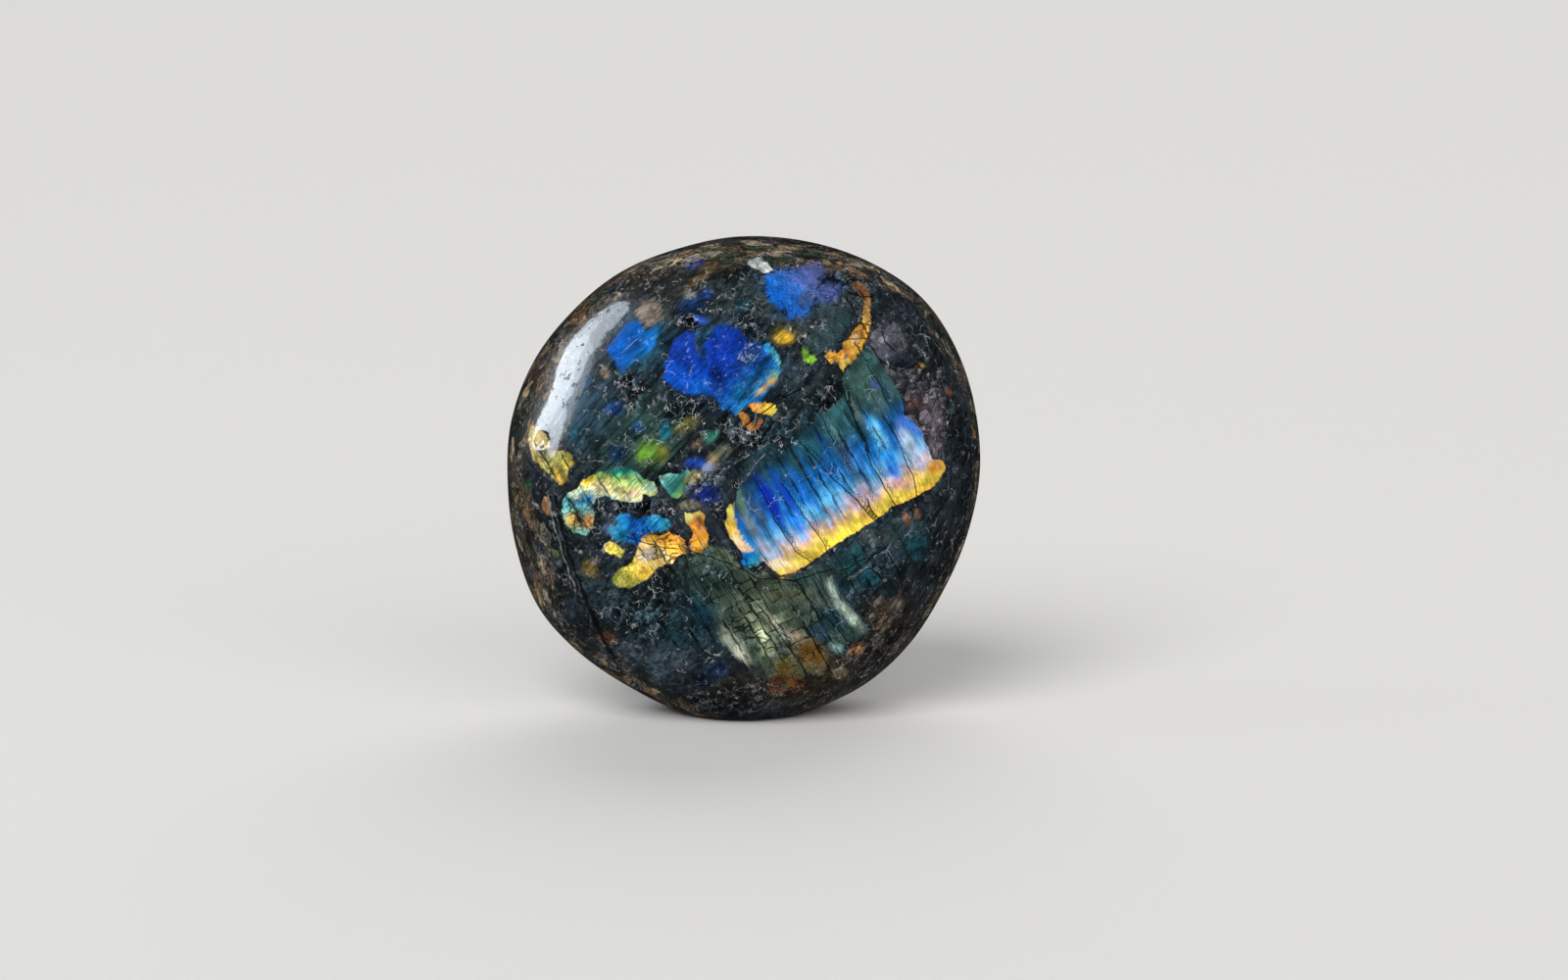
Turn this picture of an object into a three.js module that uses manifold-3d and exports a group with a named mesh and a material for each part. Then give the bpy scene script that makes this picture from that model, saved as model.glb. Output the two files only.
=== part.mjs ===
// A polished labradorite freeform: one thick, nearly round stone that stands on a small cut base.
// The front faces -Y and leans back a little, +Z is up, and the origin is the middle of the base.
// Its skin is a rounded disc, pressed in by the flats of the grinding wheel, with a few natural pits.
import * as THREE from "three";
import { mergeVertices } from "three/addons/utils/BufferGeometryUtils.js";
import Module from "manifold-3d";

// Sizes in millimetres, angles in degrees
const RIM_RADII = [
  48.6, 49.4, 51.2, 51.6, 51.0, 50.3, 49.6, 48.7, 48.7, 48.6, 49.1, 49.0,
  48.3, 48.6, 49.3, 48.7, 48.5, 49.6, 51.0, 49.7, 49.1, 48.7, 47.6, 47.7,
]; // from the girth's right end, a radius each 15 degrees, anticlockwise as seen from the front
const FRONT_DEPTH = 26; // from the girth to the crown of the front
const BACK_DEPTH = 23;
const FULLNESS = 2.55; // exponent of the cross-section: 2 is an ellipse, higher is boxier
const LEAN = 5; // how far the front is tipped back
const CENTRE_HEIGHT = 47.5; // of the stone's middle over the base
const CENTRE_BACK = 4.1; // of the stone's middle behind the middle of the base
const EDGE_SHARPNESS = 52; // how crisply a bevel or a flat meets the skin round it
const SWELL = 0.35; // height of the slow waves that hand polishing leaves
const SWELL_LENGTH = 82; // from one crest to the next
const SWELL_SHIFT = 13; // of the waves to the left
const DETAIL = 18; // the sphere that is shaped has 20 * (DETAIL + 1)^2 faces
const MERGE_DISTANCE = 1e-4; // under which two corners are one

// The bevel all round each face passes where the share of the girth's radius and SHOULDER_SLOPE times
// the share of the depth come to SHOULDER_REACH, and it widens at two opposite sides
const SHOULDER_SLOPE = 0.47;
const SHOULDER_REACH = 1.155;
const SHOULDER_WIDENING = 0.02;
const SHOULDER_SIDE = -15; // the angle at which it is widest, measured as the girth's radii are

// Flats: azimuth runs from the front (-Y) towards the right (+X), elevation is upwards, and reach is
// the distance from the middle of the stone to the flat
const FLATS = [
  { azimuth: -66, elevation: -14, reach: 45.3 }, // left, beside the front
  { azimuth: -60, elevation: 22, reach: 45.2 }, // upper left
  { azimuth: -52, elevation: -48, reach: 45.4 }, // lower left
  { azimuth: 58, elevation: -32, reach: 44.2 }, // lower right
  { azimuth: 68, elevation: 24, reach: 48.9 }, // upper right
  { azimuth: 12, elevation: 66, reach: 47.2 }, // top, towards the front
  { azimuth: 150, elevation: 34, reach: 39.8 }, // back, upper right
  { azimuth: -140, elevation: -18, reach: 38.1 }, // back, lower left
  { azimuth: 172, elevation: -52, reach: 43.3 }, // back, over the base
  { azimuth: -170, elevation: 40, reach: 37.6 }, // back, upper left
  { azimuth: 118, elevation: -20, reach: 43.5 }, // back, lower right
];

// Pits: the place on the front as x and height over the base, the size along and across, the turn of
// the long side from level, and the depth below the skin
const PITS = [
  { x: 30.3, z: 72.2, along: 7.0, across: 2.4, turn: -12, depth: 1.1 },
  { x: 10.4, z: 70.9, along: 3.4, across: 1.8, turn: 28, depth: 0.9 },
  { x: -42.4, z: 58.4, along: 3.4, across: 1.8, turn: 68, depth: 0.7 },
  { x: -23.4, z: 7.6, along: 6.4, across: 2.2, turn: -32, depth: 0.9 },
];
const PIT_SEGMENTS = 14;
const PIT_RINGS = 9;
const PIT_SLOPE_SPAN = 1; // over which the skin's slope at a pit is taken
const SEARCH_STEP = 0.05; // of the march that finds the skin at a pit

const radians = THREE.MathUtils.degToRad;

// The girth's radius at an angle: a smooth closed curve through RIM_RADII
function rimRadius(angle) {
  const count = RIM_RADII.length;
  const place = ((angle / (2 * Math.PI)) * count + count) % count;
  const first = Math.floor(place);
  const t = place - first;
  const [a, b, c, d] = [-1, 0, 1, 2].map((k) => RIM_RADII[(first + k + count) % count]);
  const slopes = (c - a) * t + (2 * a - 5 * b + 4 * c - d) * t * t;
  return b + 0.5 * (slopes + (3 * b - a - 3 * c + d) * t * t * t);
}

function flatNormal({ azimuth, elevation }) {
  const level = Math.cos(radians(elevation));
  return new THREE.Vector3(
    Math.sin(radians(azimuth)) * level,
    -Math.cos(radians(azimuth)) * level,
    Math.sin(radians(elevation)),
  );
}

const flats = FLATS.map((flat) => ({ normal: flatNormal(flat), reach: flat.reach }));

// How far the skin lies from the middle, along a unit direction of the stone's own frame. Each form
// alone would put it at 1 / share, and the nearest form has most of the say.
function skinDistance(way) {
  const angle = Math.atan2(way.z, way.x);
  const across = Math.hypot(way.x, way.z) / rimRadius(angle);
  const through = Math.abs(way.y) / (way.y < 0 ? FRONT_DEPTH : BACK_DEPTH);
  const disc = (across ** FULLNESS + through ** FULLNESS) ** (1 / FULLNESS);
  const widening = SHOULDER_WIDENING * Math.cos(2 * (angle - radians(SHOULDER_SIDE)));
  const shoulder = (across + SHOULDER_SLOPE * through) / (SHOULDER_REACH - widening);
  const pressed = flats.map(({ normal, reach }) => Math.max(0, way.dot(normal)) / reach);
  const shares = [disc, shoulder, ...pressed];
  const sum = shares.reduce((total, share) => total + share ** EDGE_SHARPNESS, 0);
  const distance = 1 / sum ** (1 / EDGE_SHARPNESS);
  return distance + SWELL * slowWave(way.clone().multiplyScalar(distance));
}

// A slow wave over the skin, from -1 to 1
function slowWave({ x, y, z }) {
  const turn = (2 * Math.PI) / SWELL_LENGTH;
  return Math.sin(turn * (x + SWELL_SHIFT)) * Math.cos(turn * (z - 2 * y));
}

// From the stone's own frame, upright round its middle, to the part's frame
const standing = new THREE.Matrix4()
  .makeTranslation(0, CENTRE_BACK, CENTRE_HEIGHT)
  .multiply(new THREE.Matrix4().makeRotationX(radians(-LEAN)));

// A closed ball of even faces, pressed flat to the stone's proportions and pushed out to its skin
function stoneGeometry() {
  const geometry = new THREE.IcosahedronGeometry(1, DETAIL);
  const flatness = (FRONT_DEPTH + BACK_DEPTH) / 2 / RIM_RADII[0];
  const position = geometry.attributes.position;
  const way = new THREE.Vector3();
  for (let i = 0; i < position.count; i++) {
    way.fromBufferAttribute(position, i);
    way.y *= flatness;
    way.normalize();
    way.multiplyScalar(skinDistance(way));
    position.setXYZ(i, way.x, way.y, way.z);
  }
  return geometry.applyMatrix4(standing);
}

// The point of the front skin that shows at x and z, found from the outside in
function frontPoint(x, z) {
  const toOwnFrame = standing.clone().invert();
  const point = new THREE.Vector3();
  for (let y = -FRONT_DEPTH * 2; y < FRONT_DEPTH; y += SEARCH_STEP) {
    point.set(x, y, z).applyMatrix4(toOwnFrame);
    const length = point.length();
    if (length < skinDistance(point.divideScalar(length))) return new THREE.Vector3(x, y, z);
  }
  throw new Error("no skin there");
}

// A pit is a flattened ball sunk into the skin, its flat side along it
function pitGeometry({ x, z, along, across, turn, depth }) {
  const middle = frontPoint(x, z);
  const half = PIT_SLOPE_SPAN / 2;
  const right = frontPoint(x + half, z).sub(frontPoint(x - half, z));
  const up = frontPoint(x, z + half).sub(frontPoint(x, z - half));
  const outward = right.clone().cross(up).normalize();
  const facing = new THREE.Matrix4().lookAt(outward, new THREE.Vector3(), up.normalize());
  return new THREE.SphereGeometry(1, PIT_SEGMENTS, PIT_RINGS)
    .scale(along / 2, across / 2, depth)
    .rotateZ(radians(turn))
    .applyMatrix4(facing)
    .translate(middle.x, middle.y, middle.z);
}

const wasm = await Module();
wasm.setup();

function solidFrom(geometry) {
  const bare = new THREE.BufferGeometry();
  bare.setAttribute("position", geometry.getAttribute("position"));
  if (geometry.index) bare.setIndex(geometry.index);
  const merged = mergeVertices(bare, MERGE_DISTANCE);
  return new wasm.Manifold(
    new wasm.Mesh({
      numProp: 3,
      vertProperties: merged.attributes.position.array,
      triVerts: new Uint32Array(merged.index.array),
    }),
  );
}

function geometryFrom(solid) {
  const { numProp, numVert, vertProperties, triVerts } = solid.getMesh();
  const places = new Float32Array(numVert * 3);
  for (let i = 0; i < numVert; i++) {
    places.set(vertProperties.subarray(i * numProp, i * numProp + 3), i * 3);
  }
  const geometry = new THREE.BufferGeometry();
  geometry.setAttribute("position", new THREE.BufferAttribute(places, 3));
  geometry.setIndex(new THREE.BufferAttribute(new Uint32Array(triVerts), 1));
  geometry.computeVertexNormals();
  return geometry;
}

// Everything below the cut that the stone stands on
function underBase() {
  const side = 4 * FRONT_DEPTH;
  return new THREE.BoxGeometry(side, side, side).translate(0, 0, -side / 2);
}

function polishedStone() {
  let solid = solidFrom(stoneGeometry()).subtract(solidFrom(underBase()));
  for (const pit of PITS) solid = solid.subtract(solidFrom(pitGeometry(pit)));
  const polished = new THREE.MeshStandardMaterial({
    color: new THREE.Color(0.05, 0.07, 0.08),
    roughness: 0.12,
    metalness: 0,
  });
  const mesh = new THREE.Mesh(geometryFrom(solid), polished);
  mesh.name = "stone";
  return mesh;
}

const labradorite = new THREE.Group();
labradorite.add(polishedStone());

export default labradorite;
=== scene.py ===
# The looks of a polished labradorite freeform: a fine skin over its plain solid, with the coloured
# crystals, cracks, flecks and polish that show in the photograph, and plain studio light around it.
import math

import bpy
import numpy as np
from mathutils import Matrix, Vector, noise


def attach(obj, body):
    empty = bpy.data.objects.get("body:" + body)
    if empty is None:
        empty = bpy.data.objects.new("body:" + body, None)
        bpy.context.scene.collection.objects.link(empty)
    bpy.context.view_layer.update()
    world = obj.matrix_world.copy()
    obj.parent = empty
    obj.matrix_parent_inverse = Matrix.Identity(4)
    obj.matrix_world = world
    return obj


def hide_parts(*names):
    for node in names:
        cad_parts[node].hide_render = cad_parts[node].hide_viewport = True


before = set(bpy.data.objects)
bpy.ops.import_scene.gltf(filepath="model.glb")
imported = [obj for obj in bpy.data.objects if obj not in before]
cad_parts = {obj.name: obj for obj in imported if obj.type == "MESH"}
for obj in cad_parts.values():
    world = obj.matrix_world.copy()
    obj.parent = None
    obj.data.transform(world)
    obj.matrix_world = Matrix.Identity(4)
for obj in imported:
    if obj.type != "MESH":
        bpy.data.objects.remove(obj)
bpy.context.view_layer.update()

MM = 0.001

# The stone's form, in millimetres and degrees, as the CAD solid has it
RIM_RADII = np.array([
    48.6, 49.4, 51.2, 51.6, 51.0, 50.3, 49.6, 48.7, 48.7, 48.6, 49.1, 49.0,
    48.3, 48.6, 49.3, 48.7, 48.5, 49.6, 51.0, 49.7, 49.1, 48.7, 47.6, 47.7,
])  # from the girth's right end, a radius each 15 degrees, anticlockwise as seen from the front
FRONT_DEPTH = 26
BACK_DEPTH = 23
FULLNESS = 2.55
LEAN = 5
CENTRE_HEIGHT = 47.5
CENTRE_BACK = 4.1
EDGE_SHARPNESS = 52
SWELL = 0.35
SWELL_LENGTH = 82
SWELL_SHIFT = 13
SHOULDER_SLOPE = 0.47
SHOULDER_REACH = 1.155
SHOULDER_WIDENING = 0.02
SHOULDER_SIDE = -15
FLATS = [  # azimuth from the front towards the right, elevation, and reach from the middle
    (-66, -14, 45.3), (-60, 22, 45.2), (-52, -48, 45.4), (58, -32, 44.2), (68, 24, 48.9),
    (12, 66, 47.2), (150, 34, 39.8), (-140, -18, 38.1), (172, -52, 43.3), (-170, 40, 37.6),
    (118, -20, 43.5),
]
PITS = [  # x, height, size along and across, turn of the long side, depth
    (30.3, 72.2, 7.0, 2.4, -12, 1.1),
    (10.4, 70.9, 3.4, 1.8, 28, 0.9),
    (-42.4, 58.4, 3.4, 1.8, 68, 0.7),
    (-23.4, 7.6, 6.4, 2.2, -32, 0.9),
]

# The fine skin: a box's faces, swollen to the stone's form
FACE_ROWS = 175  # of cells across the front and the back
WALL_ROWS = 50  # of cells from front to back
BOX_DEPTH = 0.4  # half the box's depth, where half its width is 1
CROWDING = math.radians(50)  # evens out the cells of the front and the back
BASE_EDGE = 0.4  # half the height over which the cut edge is rounded

# The camera, as the photograph has it
PHOTO_SIZE = (1600, 1000)
PHOTO_SCALE = 5  # photograph pixels for each millimetre at the stone
STONE_PIXEL = (759, 488)  # where the stone's middle lies in the photograph
AZIMUTH = -8
ELEVATION = 10
LENS = 100
SENSOR = 36
FOCAL = LENS / SENSOR * PHOTO_SIZE[0]  # in photograph pixels
DISTANCE = FOCAL / PHOTO_SCALE


def turned(azimuth, elevation):
    """The unit vector at an azimuth from -Y towards +X and an elevation, both in degrees."""
    a, e = math.radians(azimuth), math.radians(elevation)
    return np.array([math.sin(a) * math.cos(e), -math.cos(a) * math.cos(e), math.sin(e)])


MIDDLE = np.array([0, CENTRE_BACK, CENTRE_HEIGHT])
TOWARDS_CAMERA = turned(AZIMUTH, ELEVATION)
CAMERA_RIGHT = turned(AZIMUTH + 90, 0)
CAMERA_UP = np.cross(TOWARDS_CAMERA, CAMERA_RIGHT)
AIM = (
    MIDDLE
    + CAMERA_RIGHT * (PHOTO_SIZE[0] / 2 - STONE_PIXEL[0]) / PHOTO_SCALE
    - CAMERA_UP * (PHOTO_SIZE[1] / 2 - STONE_PIXEL[1]) / PHOTO_SCALE
)
CAMERA_PLACE = AIM + TOWARDS_CAMERA * DISTANCE


def photo_pixels(points):
    """Where points in millimetres show in the photograph, as x and y in pixels."""
    from_camera = points - CAMERA_PLACE
    ahead = -from_camera @ TOWARDS_CAMERA
    x = PHOTO_SIZE[0] / 2 + FOCAL * (from_camera @ CAMERA_RIGHT) / ahead
    y = PHOTO_SIZE[1] / 2 - FOCAL * (from_camera @ CAMERA_UP) / ahead
    return np.stack([x, y], axis=1)


# Form


def rim_radius(angle):
    """The girth's radius at an angle: a smooth closed curve through RIM_RADII."""
    count = len(RIM_RADII)
    place = (angle / (2 * math.pi) * count) % count
    first = np.floor(place).astype(int)
    t = place - first
    a, b, c, d = (RIM_RADII[(first + k) % count] for k in (-1, 0, 1, 2))
    slopes = (c - a) * t + (2 * a - 5 * b + 4 * c - d) * t**2
    return b + 0.5 * (slopes + (3 * b - a - 3 * c + d) * t**3)


def skin_distance(ways):
    """How far the skin lies from the stone's middle along unit directions of its own frame."""
    x, y, z = ways.T
    angle = np.arctan2(z, x)
    across = np.hypot(x, z) / rim_radius(angle)
    through = np.abs(y) / np.where(y < 0, FRONT_DEPTH, BACK_DEPTH)
    disc = (across**FULLNESS + through**FULLNESS) ** (1 / FULLNESS)
    widening = SHOULDER_WIDENING * np.cos(2 * (angle - math.radians(SHOULDER_SIDE)))
    shoulder = (across + SHOULDER_SLOPE * through) / (SHOULDER_REACH - widening)
    total = disc**EDGE_SHARPNESS + shoulder**EDGE_SHARPNESS
    for azimuth, elevation, reach in FLATS:
        pressed = np.maximum(0, ways @ turned(azimuth, elevation)) / reach
        total += pressed**EDGE_SHARPNESS
    distance = total ** (-1 / EDGE_SHARPNESS)
    x, y, z = (ways * distance[:, None]).T
    turn = 2 * math.pi / SWELL_LENGTH
    return distance + SWELL * np.sin(turn * (x + SWELL_SHIFT)) * np.cos(turn * (z - 2 * y))


def standing(points):
    """From the stone's own frame, upright round its middle, to the part's frame."""
    lean = math.radians(LEAN)
    x, y, z = points.T
    back = y * math.cos(lean) + z * math.sin(lean)
    up = z * math.cos(lean) - y * math.sin(lean)
    return np.stack([x, back, up], axis=1) + MIDDLE


def box_grid():
    """The corners of the cells on a flat box's six faces, shared along its edges, and the cells."""
    wide = np.tan(np.linspace(-1, 1, FACE_ROWS + 1) * CROWDING) / math.tan(CROWDING)
    deep = np.linspace(-1, 1, WALL_ROWS + 1)
    faces = [  # right, up and outward axes of each face, and its steps across and up
        ((1, 0, 0), (0, 0, 1), (0, -1, 0), wide, wide),
        ((-1, 0, 0), (0, 0, 1), (0, 1, 0), wide, wide),
        ((0, 1, 0), (0, 0, 1), (1, 0, 0), deep, wide),
        ((0, -1, 0), (0, 0, 1), (-1, 0, 0), deep, wide),
        ((1, 0, 0), (0, 1, 0), (0, 0, 1), wide, deep),
        ((1, 0, 0), (0, -1, 0), (0, 0, -1), wide, deep),
    ]
    corners = []
    cells = []
    start = 0
    for right, upward, outward, steps_across, steps_up in faces:
        across, up = np.meshgrid(steps_across, steps_up)
        row = len(steps_across)
        first = (np.arange(len(steps_up) - 1)[:, None] * row + np.arange(row - 1)).ravel() + start
        cells.append(np.stack([first, first + 1, first + row + 1, first + row], axis=1))
        flat = across.reshape(-1, 1) * right + up.reshape(-1, 1) * upward + np.array(outward)
        corners.append(flat)
        start += len(flat)
    corners = np.concatenate(corners)
    _, kept, sharing = np.unique(np.round(corners, 6), axis=0, return_index=True, return_inverse=True)
    return corners[kept], sharing.ravel()[np.concatenate(cells)]


def skin_points(corners):
    """The skin's points, in the part's frame, for the corners of the box."""
    ways = corners * (1, BOX_DEPTH, 1)
    ways /= np.linalg.norm(ways, axis=1)[:, None]
    points = standing(ways * skin_distance(ways)[:, None])
    height = points[:, 2]
    rounded = (height + BASE_EDGE) ** 2 / (4 * BASE_EDGE)
    points[:, 2] = np.where(height > BASE_EDGE, height, np.where(height < -BASE_EDGE, 0, rounded))
    return points


def point_normals(points, cells):
    """Outward unit normals at the points of a closed skin of four-cornered cells."""
    a, b, c, d = (points[cells[:, k]] for k in range(4))
    faces = np.cross(c - a, d - b)
    normals = np.zeros_like(points)
    for k in range(4):
        np.add.at(normals, cells[:, k], faces)
    return normals / np.linalg.norm(normals, axis=1)[:, None]


def pit_depths(points, normals):
    """How deep a pit is at each point, in millimetres."""
    sink = np.zeros(len(points))
    for x, height, along, across, turn, depth in PITS:
        t = math.radians(turn)
        dx = points[:, 0] - x
        dz = points[:, 2] - height
        u = (dx * math.cos(t) + dz * math.sin(t)) / (along / 2)
        v = (dz * math.cos(t) - dx * math.sin(t)) / (across / 2)
        inside = np.clip(1 - u**2 - v**2, 0, 1) * (normals[:, 1] < 0)
        sink = np.maximum(sink, depth * np.sqrt(inside))
    return sink


# Marks. Every place is a pixel of the photograph, and every colour is a plain screen colour.

AMBER = (232, 150, 44)
GOLD = (246, 192, 66)
LEMON = (252, 224, 80)
CREAM = (246, 228, 186)
PEACH = (240, 190, 156)
LAVENDER = (190, 180, 220)
ICE = (150, 204, 232)
SKY = (64, 154, 212)
AZURE = (6, 108, 198)
COBALT = (0, 52, 156)
PERIWINKLE = (74, 116, 214)
CYAN = (16, 132, 190)
AQUA = (126, 208, 200)
PETROL = (56, 92, 90)
LIME = (146, 206, 60)
LEAF = (92, 136, 34)
OLIVE = (80, 78, 28)
STRAW = (206, 200, 92)
RUST = (150, 86, 42)
CHIP_WHITE = (204, 212, 206)
GREY_GRAIN = (104, 104, 114)
INK = (8, 10, 14)
MATRIX = (33, 41, 47)

STEEP = -60  # the run of the long cracks, in degrees: down to the right
RISING = 45  # the run of the fine streaks in the upper crystals: up to the right

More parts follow.
